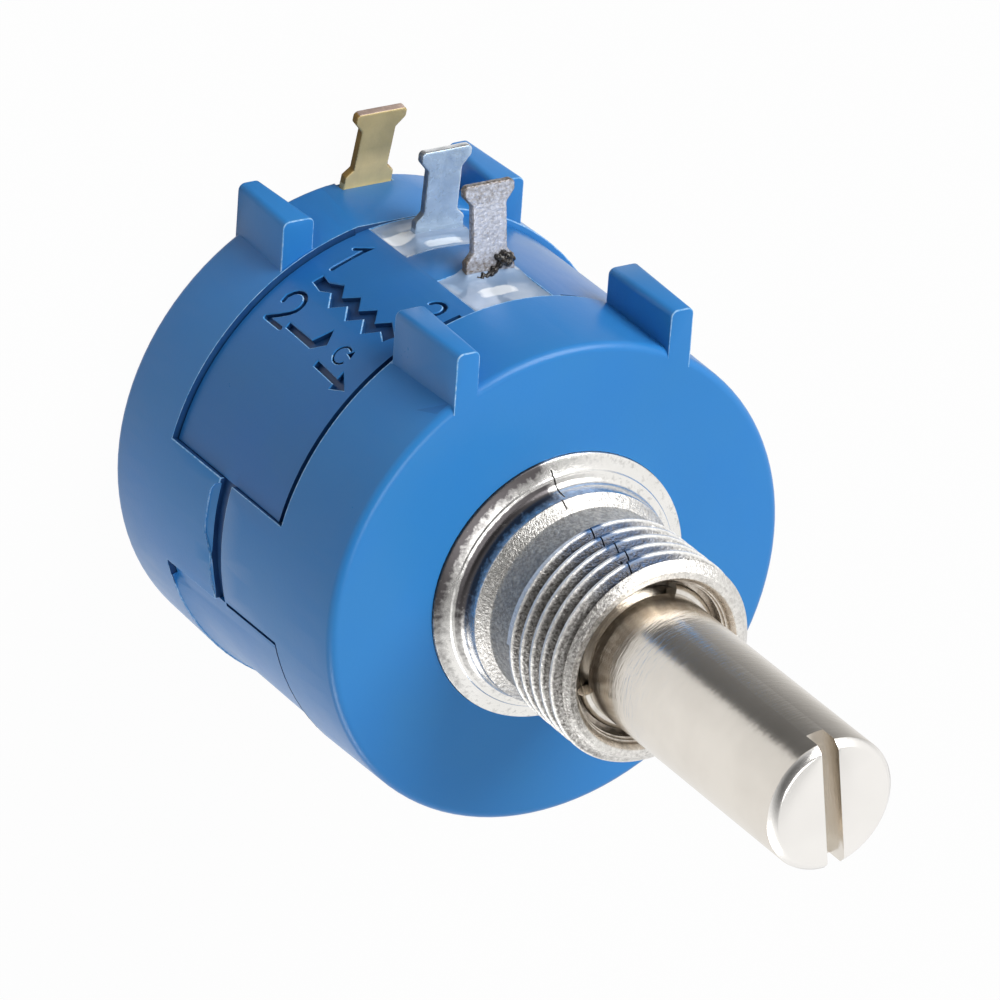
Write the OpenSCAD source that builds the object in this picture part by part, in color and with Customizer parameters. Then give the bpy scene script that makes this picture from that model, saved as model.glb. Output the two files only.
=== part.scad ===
// Ten-turn panel potentiometer.
// The shaft runs along +Z, the mounting surface is the plane z = 0 and the solder lugs point to -Y.
// A plastic rotor on the shaft carries a contact along a helical resistance element.

/* [Body] */
// Barrel radius between the two parting lines
barrel_r = 11.05; // [10.9:0.05:13.5]
// Barrel wall
barrel_wall = 1.4; // [1.2:0.05:2]
// Front wall, from the mounting surface inwards
front_wall = 1.6; // [1.3:0.1:2.4]
// How far the front parting line stands above the barrel
front_flare = 0.15; // [0.05:0.01:0.3]
// How far the rear parting line stands above the barrel
rear_flare = 0.28; // [0.05:0.01:0.4]
// Draft: how much each end band narrows towards its own face
band_draft = 0.1; // [0.02:0.01:0.2]
// Length of the front band
front_band = 4.8; // [4.2:0.1:5.4]
// Length of the rear band
rear_band = 4.3; // [3.6:0.1:4.8]
// Rounding of the front and rear edges
edge_round = 0.4; // [0.2:0.05:0.6]
// Half angle of the recess left by the mould slide on the lug side
lug_slide_half = 76; // [60:1:80]
// Half angle of the recess left by the opposite slide
far_slide_half = 74; // [60:1:80]
// Width of the relief channel that joins the two slide recesses
channel_w = 0.9; // [0.5:0.1:1.4]
// Depth of the relief channel
channel_depth = 0.3; // [0.1:0.05:0.5]
// Height of the flat round the rear lug above the barrel
lug_flat_rise = 0.03; // [0.02:0.01:0.15]

/* [Feet] */
// Distance between the middles of a pair of feet
foot_gap = 10.48; // [9.6:0.08:11.2]
// Thickness of a foot at the parting line
foot_t = 1.52; // [1.2:0.04:2]
// Thickness of a foot at the barrel's end
foot_end_t = 1.1; // [0.9:0.05:1.2]
// Height of the feet above the barrel
foot_h = 0.82; // [0.5:0.02:1.5]
// Rounding along the top of a foot
foot_round = 0.3; // [0.1:0.05:0.5]

/* [Windows] */
// Width of a lug window
window_w = 3.85; // [3.8:0.05:4.6]
// Sideways offset of the windows
window_x = -0.12; // [-0.2:0.02:0.2]
// Length of the front window along the body
front_window_l = 3.3; // [3.2:0.05:3.6]
// Length of the middle window along the body
middle_window_l = 3.05; // [2.9:0.05:3.6]
// How far the potting sits below the barrel surface
potting_drop = 0.12; // [0.05:0.01:0.3]

/* [Lugs] */
// Distance of the front lug behind the mounting surface
front_lug_z = 7.95; // [7:0.05:7.95]
// Distance of the middle lug ahead of the rear parting line
middle_lug_lead = 1.54; // [1:0.02:2.4]
// Depth of the rear lug below the inner side of the cover
rear_lug_sink = 0.5; // [0.1:0.05:0.6]
// Sideways offset of the front lug
front_lug_x = -0.55; // [-0.6:0.05:0.4]
// Sideways offset of the middle lug
middle_lug_x = -0.65; // [-0.65:0.05:0.4]
// Sideways offset of the rear lug
rear_lug_x = -0.2; // [-0.4:0.05:0.4]
// Forward tilt of the front lug
front_lug_tilt = -8; // [-15:1:15]
// Forward tilt of the middle lug
middle_lug_tilt = 4; // [-15:1:15]
// Forward tilt of the rear lug
rear_lug_tilt = 13; // [-15:1:15]
// Sheet thickness of the lugs
lug_t = 0.4; // [0.3:0.05:0.4]
// Height of the lugs above the barrel
lug_h = 3.98; // [3:0.02:6]
// Width of a lug's head
head_w = 2.5; // [2.2:0.05:3]
// Height of a lug's head
head_h = 0.62; // [0.5:0.02:1.2]
// Width of a lug's neck
neck_w = 1.7; // [1.2:0.05:2]
// Width of a lug's foot
lug_foot_w = 2.4; // [2.2:0.05:2.4]
// Height of a lug's foot above the barrel
lug_foot_h = 0.62; // [0.4:0.02:1]
// Length of the sloping shoulders of a lug
shoulder = 0.34; // [0.1:0.02:0.4]
// Corner cut of a lug's head
head_cut = 0.14; // [0.05:0.01:0.25]

/* [Bushing] */
// Radius of the flange
flange_r = 6.15; // [5.8:0.05:7]
// Depth that the flange is let into the front face
flange_sink = 0.65; // [0.4:0.05:0.9]
// Height of the flange's rim above the mounting surface
flange_rim = 0.08; // [0.02:0.02:0.3]
// Radius of the collar
collar_r = 4.97; // [4.9:0.01:5.2]
// Height of the collar above the mounting surface
collar_h = 1.45; // [1.2:0.05:1.8]
// Radius of the relief behind the thread
relief_r = 4.4; // [4.1:0.05:4.6]
// Major radius of the thread
thread_r = 4.76; // [4.6:0.01:4.9]
// Height at which the thread starts
thread_start = 3; // [2.6:0.1:3.6]
// Height of the bushing above the mounting surface
bushing_h = 7.93; // [7:0.01:10]
// Chamfer at the front of the thread
thread_chamfer = 0.48; // [0.2:0.02:0.6]
// Radius of the counterbore in the mouth
mouth_r = 3.75; // [3.6:0.01:3.9]
// Depth of the counterbore
mouth_depth = 1.33; // [1.1:0.01:2]
// Lead-in at the mouth
mouth_lead = 0.2; // [0.05:0.05:0.3]
// Radius of the tail that passes through the front wall
tail_r = 4.6; // [4.3:0.05:4.8]
// Half distance between the flats that stop the tail from turning
tail_flat = 4.3; // [4:0.05:4.4]
// Radius of the swaged rim behind the front wall
rim_r = 5.6; // [5.2:0.1:6]
// Thickness of the swaged rim
rim_t = 0.8; // [0.5:0.05:1]

/* [Shaft] */
// Radius of the shaft
shaft_r = 3; // [2.8:0.01:3.1]
// Height of the shaft's end above the mounting surface
shaft_h = 21.33; // [12:0.01:40]
// Chamfer of the shaft's end
shaft_chamfer = 0.32; // [0.1:0.02:0.5]
// Width of the screwdriver slot
slot_w = 0.8; // [0.5:0.05:1.2]
// Depth of the screwdriver slot
slot_depth = 1.15; // [0.6:0.05:2]
// Direction of the screwdriver slot
slot_angle = 98.6; // [0:0.1:180]
// Half distance between the flats that drive the rotor
drive_flat = 2.6; // [2.3:0.05:2.8]
// Radius of the rear pivot
pivot_r = 2; // [1.5:0.05:2.3]
// Wire diameter of the retaining ring
ring_wire = 0.7; // [0.5:0.02:0.8]
// Angle of the gap in the retaining ring
ring_gap = 130; // [60:5:150]
// Direction of the gap in the retaining ring
ring_gap_dir = 315; // [0:5:360]
// Depth of the ring's groove in the shaft
groove_depth = 0.35; // [0.25:0.01:0.4]

/* [Element] */
// Turns between the stops
turns = 10; // [10]
// Pitch of the element
element_pitch = 0.95; // [0.9:0.01:1.2]
// Radius of the wound mandrel
element_r = 0.3; // [0.22:0.01:0.32]
// Angle that the element runs on past each stop
element_over = 12; // [10:1:16]
// Facets round the mandrel
element_sides = 6; // [6:1:8]
// Steps in each turn of the element
element_steps = 36; // [30:6:48]

/* [Rotor] */
// Radius of the rotor's drum
drum_r = 6.4; // [6:0.1:6.6]
// Radius of the rotor's flanges
rotor_flange_r = 8; // [7.9:0.05:8.1]
// Thickness of the front flange
rotor_front_t = 0.9; // [0.6:0.05:1.4]
// Thickness of the rear flange
rotor_rear_t = 0.6; // [0.5:0.05:1]
// Radius of the floor of the carrier's slot
slot_floor_r = 4.4; // [4:0.05:5]
// Turns from the rear stop to the rest position
rest_turns = 4.75; // [0.25:0.5:9.75]
// Radius of the guide rod
rod_r = 0.4; // [0.3:0.02:0.45]
// Distance of the guide rod from the axis
rod_at = 7.4; // [7.2:0.02:7.5]

/* [Carrier] */
// Length of the contact carrier along the axis
carrier_l = 1.5; // [1.3:0.05:1.8]
// Width of the contact carrier across the slot
carrier_w = 2.9; // [2.6:0.1:3.2]
// Thickness of the fork's prongs
prong_t = 0.18; // [0.12:0.01:0.2]
// How far the prongs reach past the inner side of the element
prong_bite = 0.2; // [0.1:0.02:0.24]
// Thickness of the wiper's sheet
wiper_t = 0.08; // [0.05:0.01:0.1]
// Angle taken by a stop in the housing or cover
stop_angle = 12; // [8:1:16]

/* [Rear cover] */
// Thickness of the cover
cover_t = 1.3; // [1.1:0.05:2]
// Ledge that the cover seats on
cover_ledge = 0.35; // [0.25:0.05:0.5]
// Room between the slip ring and the cover
brush_room = 1.05; // [0.9:0.05:1.6]
// Inner radius of the slip ring
slip_in_r = 3.6; // [3.4:0.05:4]
// Outer radius of the slip ring
slip_out_r = 5.6; // [5:0.1:6]
// Thickness of the slip ring
slip_t = 0.25; // [0.15:0.05:0.4]
// Thickness of the brush's sheet
brush_t = 0.12; // [0.08:0.01:0.15]

/* [Fits] */
// Radial clearance of a turning fit
running = 0.03; // [0.02:0.01:0.05]
// Clearance between pieces that are fixed together
seat = 0.02; // [0.01:0.01:0.03]
// Axial play of the rotor
play = 0.05; // [0.03:0.01:0.1]
// Thickness of the thrust washer
washer_t = 0.3; // [0.2:0.05:0.4]

/* [Hidden] */
$fn = 96;
bore_r = barrel_r - barrel_wall;
front_r = barrel_r + front_flare;
rear_r = barrel_r + rear_flare;
rotor_top = -(front_wall + rim_t + washer_t + 2 * play);
carrier_gap = 0.15;
first_z = rotor_top - rotor_front_t - carrier_gap - carrier_l / 2;
last_z = first_z - turns * element_pitch;
rest_z = last_z + rest_turns * element_pitch;
rear_flange_z = last_z - carrier_l / 2 - carrier_gap;
rotor_bottom = rear_flange_z - rotor_rear_t;
slip_z = rotor_bottom - slip_t;
cover_z = slip_z - brush_room;
body_l = -cover_z + cover_t;
element_mid_r = bore_r - 0.05 - element_r;
lug_side = 270;
rest_angle = lug_side - 360 * rest_turns;
cover_lug_z = -cover_z + rear_lug_sink + lug_t / 2;
bend_y = barrel_r + 0.12;
lug_flat_y = barrel_r + lug_flat_rise;
rear_part_z = -(body_l - rear_band);
edge_gap = 0.05;
front_window = -front_band - 0.1 - front_window_l;
rear_window = rear_part_z + 0.1;
middle_lug_z = -rear_part_z - middle_lug_lead;
strap_in = element_mid_r + element_r + 0.13;
strap_t = 0.25;
strap_w = 1.1;
clip_x = window_w / 2 - abs(window_x) - strap_w / 2 - 0.04;
clip_angle = asin(clip_x / element_mid_r);
clip_l = 1.1;
clip_in_r = element_r + 0.04;
clip_out_r = clip_in_r + 0.1;
lug_inner_w = 3.5;
cover_r = bore_r + cover_ledge - 0.03;
notch_w = lug_foot_w + 0.1;
carrier_out = 8.6;
carrier_in = slot_floor_r + 0.1;
prong_at = element_pitch / 2;
prong_w = 0.7;
stop_in_r = rotor_flange_r + 0.15;
stop_out_r = element_mid_r - clip_out_r - 0.02;
stop_start = asin(carrier_w / 2 / stop_in_r) + 2;
stop_bite = 0.6;
groove_w = ring_wire + 0.04;
mouth_floor = bushing_h - mouth_depth;
ring_z = mouth_floor + 0.05 + ring_wire / 2;
over = 0.01;

// Points of an arc, so that a rounded corner stays one formula
function arc(x, y, r, from, to, n) =
    [for (i = [0:n]) let (a = from + (to - from) * i / n) [x + r * cos(a), y + r * sin(a)]];

// Outline of the moulded body, as half a section: radius, height
function body_section() = concat(
    [[0, 0]],
    arc(front_r - band_draft - edge_round, -edge_round, edge_round, 90, 0, 6),
    [[front_r, -front_band], [rear_r, rear_part_z]],
    arc(rear_r - band_draft - edge_round, -body_l + edge_round, edge_round, 0, -90, 6),
    [[0, -body_l]]);

module tube_ring(outer, inner, low, high) {
    translate([0, 0, low]) difference() {
        cylinder(r = outer, h = high - low);
        translate([0, 0, -over]) cylinder(r = inner, h = high - low + 2 * over);
    }
}

module sector(inner, outer, low, high, from, sweep) {
    rotate([0, 0, from]) rotate_extrude(angle = sweep)
        translate([inner, low]) square([outer - inner, high - low]);
}

// A box from one corner to the other
module block(low, high) {
    translate(low) cube(high - low);
}

// A thick plate along Z with one face through the origin and that face's top edge rounded
module foot_side(l) {
    top = barrel_r + foot_h;
    translate([0, 0, -l]) linear_extrude(2 * l) polygon(concat(
        [[-3, -bore_r * 0.94], [-3, -top]],
        arc(-foot_round, -top + foot_round, foot_round, 270, 360, 5),
        [[0, -bore_r * 0.94]]));
}

// A foot runs from the parting line to the barrel's end and tapers with the draft of the mould
module foot(side, part, end) {
    l = abs(end - part);
    draft = atan((foot_t - foot_end_t) / 2 / l) * sign(part - end);
    mirror([side, 0, 0]) intersection() {
        block([0, -barrel_r - 3, min(part, end)], [barrel_r, 0, max(part, end)]);
        translate([(foot_gap + foot_t) / 2, 0, part]) rotate([0, draft, 0]) foot_side(2 * l);
        translate([(foot_gap - foot_t) / 2, 0, part]) rotate([0, -draft, 0])
            mirror([1, 0, 0]) foot_side(2 * l);
    }
}

module slide_recess(dir, half) {
    sector(barrel_r, barrel_r + 2, rear_part_z + edge_gap, -front_band - edge_gap, dir - half, 2 * half);
}

module relief_channel(from, sweep) {
    mid = (rear_part_z - front_band) / 2;
    sector(barrel_r + front_flare - channel_depth, barrel_r + 2,
        mid - channel_w / 2, mid + channel_w / 2, from, sweep);
}

module window(low, l) {
    block([window_x - window_w / 2, -barrel_r - 1, low],
        [window_x + window_w / 2, -bore_r + 1, low + l]);
}

// Pocket in the wall for the strap that joins a lug to the element's end
module strap_pocket(x, low, high) {
    half = strap_w / 2 + 0.1;
    block([x - half, -strap_in - strap_t - 0.07, low], [x + half, -bore_r + 1, high]);
}

module tail_outline(gap) {
    intersection() {
        circle(r = tail_r + gap);
        square([2 * (tail_flat + gap), 3 * tail_r], center = true);
    }
}

module housing() {
    strip = (180 - lug_slide_half - far_slide_half);
    color([0.16, 0.39, 0.72]) difference() {
        union() {
            rotate_extrude() polygon(body_section());
            for (side = [0, 1]) {
                foot(side, -front_band + 0.1, 0);
                foot(side, rear_part_z - 0.1, -body_l);
            }
        }
        slide_recess(lug_side, lug_slide_half);
        slide_recess(lug_side - 180, far_slide_half);
        relief_channel(lug_side + lug_slide_half - 2, strip + 4);
        relief_channel(lug_side - lug_slide_half - strip - 2, strip + 4);
        // the flat round the rear lug
        block([-foot_gap / 2 + foot_t, -barrel_r - 1, -body_l - 1],
            [foot_gap / 2 - foot_t, -lug_flat_y, rear_part_z + 1]);
        // the bore, the cover's seat and the bushing's seat
        translate([0, 0, -body_l - 1]) cylinder(r = bore_r, h = body_l + 1 - front_wall);
        translate([0, 0, -body_l - 1]) cylinder(r = bore_r + cover_ledge, h = cover_t + 1);
        translate([0, 0, -flange_sink - seat]) cylinder(r = flange_r + seat, h = flange_sink + 1);
        translate([0, 0, -front_wall - 1]) linear_extrude(front_wall + 1) tail_outline(seat);
        // lug windows, strap pockets and the rear lug's notch
        window(front_window, front_window_l);
        window(rear_window, middle_window_l);
        strap_pocket(-clip_x, front_window + front_window_l - over, first_z + 0.5);
        strap_pocket(clip_x, last_z - 0.5, rear_window + over);
        block([rear_lug_x - notch_w / 2, -barrel_r - 1, -body_l - 1],
            [rear_lug_x + notch_w / 2, -bore_r + 1, lug_t / 2 + seat - cover_lug_z]);
    }
    // stop for the carrier at the front end of its travel
    color([0.16, 0.39, 0.72]) sector(stop_in_r, stop_out_r, first_z + carrier_l / 2 - stop_bite,
        -front_wall + over, lug_side - stop_start - stop_angle, stop_angle);
}

module rear_cover() {
    groove_low = -cover_lug_z - lug_t / 2 - seat;
    color([0.15, 0.37, 0.69]) difference() {
        union() {
            translate([0, 0, -body_l]) cylinder(r = cover_r, h = cover_t);
            translate([0, 0, cover_z - over]) cylinder(r = slip_in_r - 0.4, h = brush_room - 0.35);
            // tongue that fills the notch behind the rear lug
            intersection() {
                block([rear_lug_x - notch_w / 2 + seat, -barrel_r, -body_l],
                    [rear_lug_x + notch_w / 2 - seat, -cover_r + 1, groove_low]);
                translate([0, 0, -body_l - 1]) cylinder(r = barrel_r - 0.1, h = cover_t + 2);
            }
            // stop for the carrier at the rear end of its travel
            sector(stop_in_r, stop_out_r, cover_z - over, last_z - carrier_l / 2 + stop_bite,
                lug_side + stop_start, stop_angle);
        }
        translate([0, 0, cover_z - 0.6]) cylinder(r = pivot_r + running, h = brush_room + 1);
        block([rear_lug_x - lug_foot_w / 2 - seat, -barrel_r - 1, groove_low],
            [rear_lug_x + lug_foot_w / 2 + seat, -5.6, cover_z + 1]);
    }
}

module bushing() {
    half = concat(
        [[shaft_r + running, -front_wall - rim_t], [rim_r, -front_wall - rim_t],
            [rim_r, -front_wall - seat], [relief_r, -front_wall - seat], [relief_r, -flange_sink],
            [flange_r, -flange_sink]],
        [[flange_r, flange_rim], [flange_r - 0.2, flange_rim + 0.1]],
        [[collar_r + 0.5, 0.45], [collar_r + 0.42, 0.5]],
        arc(collar_r + 0.42, 0.95, 0.4, 270, 180, 4),
        [[collar_r, collar_h], [relief_r + 0.08, collar_h + 0.42], [relief_r, collar_h + 0.55]],
        [[relief_r, thread_start - 0.1], [thread_r, thread_start + 0.2]],
        [[thread_r, bushing_h - thread_chamfer], [thread_r - thread_chamfer, bushing_h]],
        [[mouth_r + mouth_lead, bushing_h], [mouth_r, bushing_h - mouth_lead]],
        [[mouth_r, mouth_floor], [shaft_r + running, mouth_floor]]);
    color([0.78, 0.77, 0.74]) {
        rotate_extrude() polygon(half);
        translate([0, 0, -front_wall - seat - over])
            linear_extrude(front_wall - flange_sink + seat + 2 * over) difference() {
                tail_outline(0);
                circle(r = shaft_r + running + 0.5);
            }
    }
}

// Outline of a lug's blade, with its bend at the origin and its head towards -Y
function blade_outline() =
    let (
        top = barrel_r + lug_h - bend_y,
        foot = barrel_r + lug_foot_h - bend_y,
        half = [
            [head_w / 2 - head_cut, -top], [head_w / 2, -top + head_cut],
            [head_w / 2, -top + head_h - head_cut], [neck_w / 2, -top + head_h + shoulder],
            [neck_w / 2, -foot - shoulder], [lug_foot_w / 2, -foot], [lug_foot_w / 2, 0.08]],
        count = len(half))
    concat(half, [for (i = [1:count]) [-half[count - i][0], half[count - i][1]]]);

// A lug: a blade bent a little by handling, on a root that stays square to the shaft
module lug(x, z, tilt, root_end, root_x, root_w) {
    translate([x, -bend_y, z]) rotate([-tilt, 0, 0])
        linear_extrude(lug_t, center = true) polygon(blade_outline());
    low = z - lug_t / 2;
    high = z + lug_t / 2;
    block([x - lug_foot_w / 2, -bend_y, low], [x + lug_foot_w / 2, -barrel_r + 0.6, high]);
    block([root_x - root_w / 2, -barrel_r + 0.45, low], [root_x + root_w / 2, -root_end, high]);
}

// A side lug with the strap that runs inside the wall to the element's end
module side_lug(x, z, tilt, strap_x, strap_end) {
    lug(x, z, tilt, strap_in, window_x, lug_inner_w);
    block([strap_x - strap_w / 2, -strap_in - strap_t, min(z, strap_end)],
        [strap_x + strap_w / 2, -strap_in, max(z, strap_end)]);
}

module terminal_1() {
    color([0.72, 0.73, 0.74])
        side_lug(middle_lug_x, -middle_lug_z, middle_lug_tilt, clip_x, last_z - 0.4);
}

module terminal_2() {
    color([0.75, 0.67, 0.4])
        lug(rear_lug_x, -cover_lug_z, rear_lug_tilt, 6.4, rear_lug_x, lug_foot_w);
}

module terminal_3() {
    color([0.72, 0.73, 0.74])
        side_lug(front_lug_x, -front_lug_z, front_lug_tilt, -clip_x, first_z + 0.4);
}

// Epoxy in a window, cast round the lug and its strap
module potting(low, l, lug_z, strap_x) {
    half = window_w / 2 - seat;
    root = lug_inner_w / 2 + seat;
    color([0.88, 0.9, 0.9]) difference() {
        intersection() {
            block([window_x - half, -barrel_r, low + seat],
                [window_x + half, -strap_in - 0.02, low + l - seat]);
            translate([0, 0, low]) cylinder(r = barrel_r - potting_drop, h = l, $fn = 240);
        }
        block([window_x - root, -barrel_r, lug_z - lug_t / 2 - seat],
            [window_x + root, -bore_r + 1, lug_z + lug_t / 2 + seat]);
        block([strap_x - strap_w / 2 - seat, -strap_in - strap_t - seat, low - 1],
            [strap_x + strap_w / 2 + seat, -bore_r + 1, low + l + 1]);
    }
}

module potting_1() {
    potting(rear_window, middle_window_l, -middle_lug_z, clip_x);
}

module potting_3() {
    potting(front_window, front_window_l, -front_lug_z, -clip_x);
}

// Ring of points round the mandrel after a number of turns from the rear stop
function mandrel_ring(u) = [for (k = [0:element_sides - 1])
    let (b = 360 * k / element_sides, a = lug_side - 360 * u, r = element_mid_r + element_r * cos(b))
    [r * cos(a), r * sin(a), last_z + element_pitch * u + element_r * sin(b)]];

module resistance_element() {
    ends = element_over / 360;
    rings = ceil((turns + 2 * ends) * element_steps);
    points = [for (i = [0:rings]) each mandrel_ring(-ends + (turns + 2 * ends) * i / rings)];
    sides = [for (i = [0:rings - 1], k = [0:element_sides - 1])
        let (a = i * element_sides + k, b = i * element_sides + (k + 1) % element_sides)
        each [[a, a + element_sides, b], [b, a + element_sides, b + element_sides]]];
    first_cap = [[for (k = [0:element_sides - 1]) k]];
    last_cap = [[for (k = [0:element_sides - 1]) (rings + 1) * element_sides - 1 - k]];
    color([0.45, 0.36, 0.25]) polyhedron(points, concat(sides, first_cap, last_cap), convexity = 10);
}

// Sleeve crimped on an end of the element, under the lug's strap
module end_clip(dir, z) {
    color([0.8, 0.78, 0.72]) rotate([0, 0, dir]) translate([element_mid_r, 0, z]) rotate([90, 0, 0])
        difference() {
            cylinder(r = clip_out_r, h = clip_l, center = true, $fn = 32);
            cylinder(r = clip_in_r, h = clip_l + 1, center = true, $fn = 32);
        }
}

module end_clip_1() {
    end_clip(lug_side + clip_angle, last_z - element_pitch * clip_angle / 360);
}

module end_clip_3() {
    end_clip(lug_side - clip_angle, first_z + element_pitch * clip_angle / 360);
}

// Spring finger from the rear lug to the slip ring, as a side view swept across its width
module slip_ring_brush() {
    base = -cover_lug_z + lug_t / 2;
    tip_y = (slip_in_r + slip_out_r) / 2;
    tip = slip_z - 0.05;
    side_view = [
        [-8.6, base], [-6.5, base], [-tip_y - 0.35, tip - brush_t - 0.1], [-tip_y, tip - brush_t],
        [-tip_y + 0.4, tip - brush_t - 0.25], [-tip_y + 0.5, tip - 0.28], [-tip_y + 0.05, tip],
        [-tip_y - 0.1, tip], [-tip_y - 0.45, tip - 0.08], [-6.58, base + brush_t], [-8.6, base + brush_t]];
    color([0.82, 0.74, 0.45]) translate([rear_lug_x, 0, 0]) rotate([90, 0, 90])
        linear_extrude(1.2, center = true) polygon(side_view);
}

module shaft() {
    color([0.78, 0.77, 0.74]) difference() {
        union() {
            rotate_extrude() polygon([
                [0, slip_z], [shaft_r, slip_z], [shaft_r, shaft_h - shaft_chamfer],
                [shaft_r - shaft_chamfer, shaft_h], [0, shaft_h]]);
            translate([0, 0, cover_z - 0.55]) cylinder(r = pivot_r, h = slip_z - cover_z + 1);
        }
        tube_ring(shaft_r + 1, shaft_r - groove_depth, ring_z - groove_w / 2, ring_z + groove_w / 2);
        for (side = [0, 1]) mirror([0, side, 0])
            block([-shaft_r - 1, drive_flat, slip_z - 1], [shaft_r + 1, shaft_r + 1, rotor_top - 0.5]);
        rotate([0, 0, slot_angle]) block([-shaft_r - 1, -slot_w / 2, shaft_h - slot_depth],
            [shaft_r + 1, slot_w / 2, shaft_h + 1]);
    }
}

module retaining_ring() {
    mid_r = shaft_r - groove_depth + 0.02 + ring_wire / 2;
    color([0.6, 0.58, 0.55]) rotate([0, 0, ring_gap_dir + ring_gap / 2])
        rotate_extrude(angle = 360 - ring_gap) translate([mid_r, ring_z]) circle(r = ring_wire / 2, $fn = 24);
}

module thrust_washer() {
    top = -front_wall - rim_t - play;
    color([0.7, 0.7, 0.7]) tube_ring(rim_r - 0.4, shaft_r + 0.08, top - washer_t, top);
}

// Turns what follows to the rotor's slot, as it stands at rest
module at_rest_angle() {
    rotate([0, 0, rest_angle]) children();
}

module rotor() {
    through = rotor_top - rotor_bottom + 2;
    color([0.9, 0.88, 0.82]) at_rest_angle() difference() {
        union() {
            translate([0, 0, rotor_bottom]) cylinder(r = drum_r, h = rotor_top - rotor_bottom);
            translate([0, 0, rotor_top - rotor_front_t]) cylinder(r = rotor_flange_r, h = rotor_front_t);
            translate([0, 0, rotor_bottom]) cylinder(r = rotor_flange_r, h = rotor_rear_t);
        }
        block([slot_floor_r, -carrier_w / 2 - 0.05, rear_flange_z],
            [rotor_flange_r + 1, carrier_w / 2 + 0.05, rotor_top - rotor_front_t]);
        translate([rod_at, 0, rotor_bottom - 1]) cylinder(r = rod_r + seat / 2, h = through);
        rotate([0, 0, -rest_angle]) translate([0, 0, rotor_bottom - 1]) linear_extrude(through)
            intersection() {
                circle(r = shaft_r + seat);
                square([3 * shaft_r, 2 * (drive_flat + seat)], center = true);
            }
        rotate([0, 0, -rest_angle]) translate([0, 0, rotor_top - 0.5]) cylinder(r = shaft_r + seat, h = 1);
    }
}

module guide_rod() {
    color([0.85, 0.78, 0.5]) at_rest_angle() translate([rod_at, 0, rotor_bottom])
        cylinder(r = rod_r, h = rotor_top - rotor_bottom);
}

module slip_ring() {
    color([0.85, 0.78, 0.5]) at_rest_angle() {
        tube_ring(slip_out_r, slip_in_r, slip_z, rotor_bottom);
        block([slip_out_r - 0.3, -0.7, slip_z], [rod_at + rod_r + 0.1, 0.7, rotor_bottom]);
    }
}

// The slider: a block in the rotor's slot, with a bore for the rod and a fork over one turn
module contact_carrier() {
    fork_end = element_mid_r - element_r + prong_bite;
    color([0.25, 0.25, 0.27]) at_rest_angle() translate([0, 0, rest_z]) {
        difference() {
            block([carrier_in, -carrier_w / 2, -carrier_l / 2], [carrier_out, carrier_w / 2, carrier_l / 2]);
            translate([rod_at, 0, -carrier_l]) cylinder(r = rod_r + running, h = 2 * carrier_l);
        }
        for (side = [-1, 1]) block([carrier_out - over, -prong_w / 2, side * prong_at - prong_t / 2],
            [fork_end, prong_w / 2, side * prong_at + prong_t / 2]);
    }
}

// One stamping: a plate round the rod, folded over the carrier and back to a raised contact
module wiper_spring() {
    front = carrier_l / 2;
    side = carrier_w / 2 - 0.25;
    rub_r = element_mid_r - element_r - 0.15;
    color([0.85, 0.7, 0.4]) at_rest_angle() translate([0, 0, rest_z]) {
        difference() {
            block([6.7, -0.6, front], [carrier_out + wiper_t, side, front + wiper_t]);
            translate([rod_at, 0, 0]) cylinder(r = rod_r + seat, h = carrier_l);
        }
        block([carrier_out, prong_w / 2 + 0.1, -0.25], [carrier_out + wiper_t, side, front + wiper_t]);
        block([carrier_out, -0.4, -0.25], [carrier_out + wiper_t, side, 0.25]);
        translate([0, 0, -0.25]) linear_extrude(0.5) polygon([
            [carrier_out + over, -0.4], [rub_r, -0.15], [rub_r, 0.15], [carrier_out + over, 0.4]]);
    }
}

housing();
rear_cover();
bushing();
terminal_1();
terminal_2();
terminal_3();
potting_1();
potting_3();
resistance_element();
end_clip_1();
end_clip_3();
slip_ring_brush();
shaft();
retaining_ring();
thrust_washer();
rotor();
guide_rod();
slip_ring();
contact_carrier();
wiper_spring();
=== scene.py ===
import math
import bmesh
import bpy
from mathutils import Matrix, Vector, noise


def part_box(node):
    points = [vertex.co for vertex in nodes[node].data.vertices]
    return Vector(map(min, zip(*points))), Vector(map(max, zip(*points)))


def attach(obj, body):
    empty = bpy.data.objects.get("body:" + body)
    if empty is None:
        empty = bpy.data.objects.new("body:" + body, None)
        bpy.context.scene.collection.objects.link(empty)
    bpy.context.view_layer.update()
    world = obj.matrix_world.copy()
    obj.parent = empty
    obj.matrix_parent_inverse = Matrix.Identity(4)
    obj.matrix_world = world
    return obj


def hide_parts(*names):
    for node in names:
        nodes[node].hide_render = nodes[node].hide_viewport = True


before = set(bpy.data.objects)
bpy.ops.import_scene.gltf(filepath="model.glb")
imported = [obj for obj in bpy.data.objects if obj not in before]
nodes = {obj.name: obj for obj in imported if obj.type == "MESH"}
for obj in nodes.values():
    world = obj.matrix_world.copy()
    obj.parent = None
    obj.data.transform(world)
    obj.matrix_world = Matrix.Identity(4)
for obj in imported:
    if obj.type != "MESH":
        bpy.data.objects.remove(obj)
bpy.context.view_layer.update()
scene = bpy.context.scene
mm = 0.001
mergeDistance = 1e-6  # metres, the least that the merge tool takes
print("frame loaded,", len(nodes), "CAD nodes")


def clearSelection():
    if bpy.context.object is not None and bpy.context.object.mode != "OBJECT":
        bpy.ops.object.mode_set(mode="OBJECT")
    bpy.ops.object.select_all(action="DESELECT")


def makeActive(piece):
    clearSelection()
    piece.select_set(True)
    bpy.context.view_layer.objects.active = piece


def openEdit(piece, mode, action="DESELECT"):
    makeActive(piece)
    bpy.ops.object.mode_set(mode="EDIT")
    bpy.ops.mesh.select_mode(type=mode)
    bpy.ops.mesh.select_all(action=action)


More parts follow.
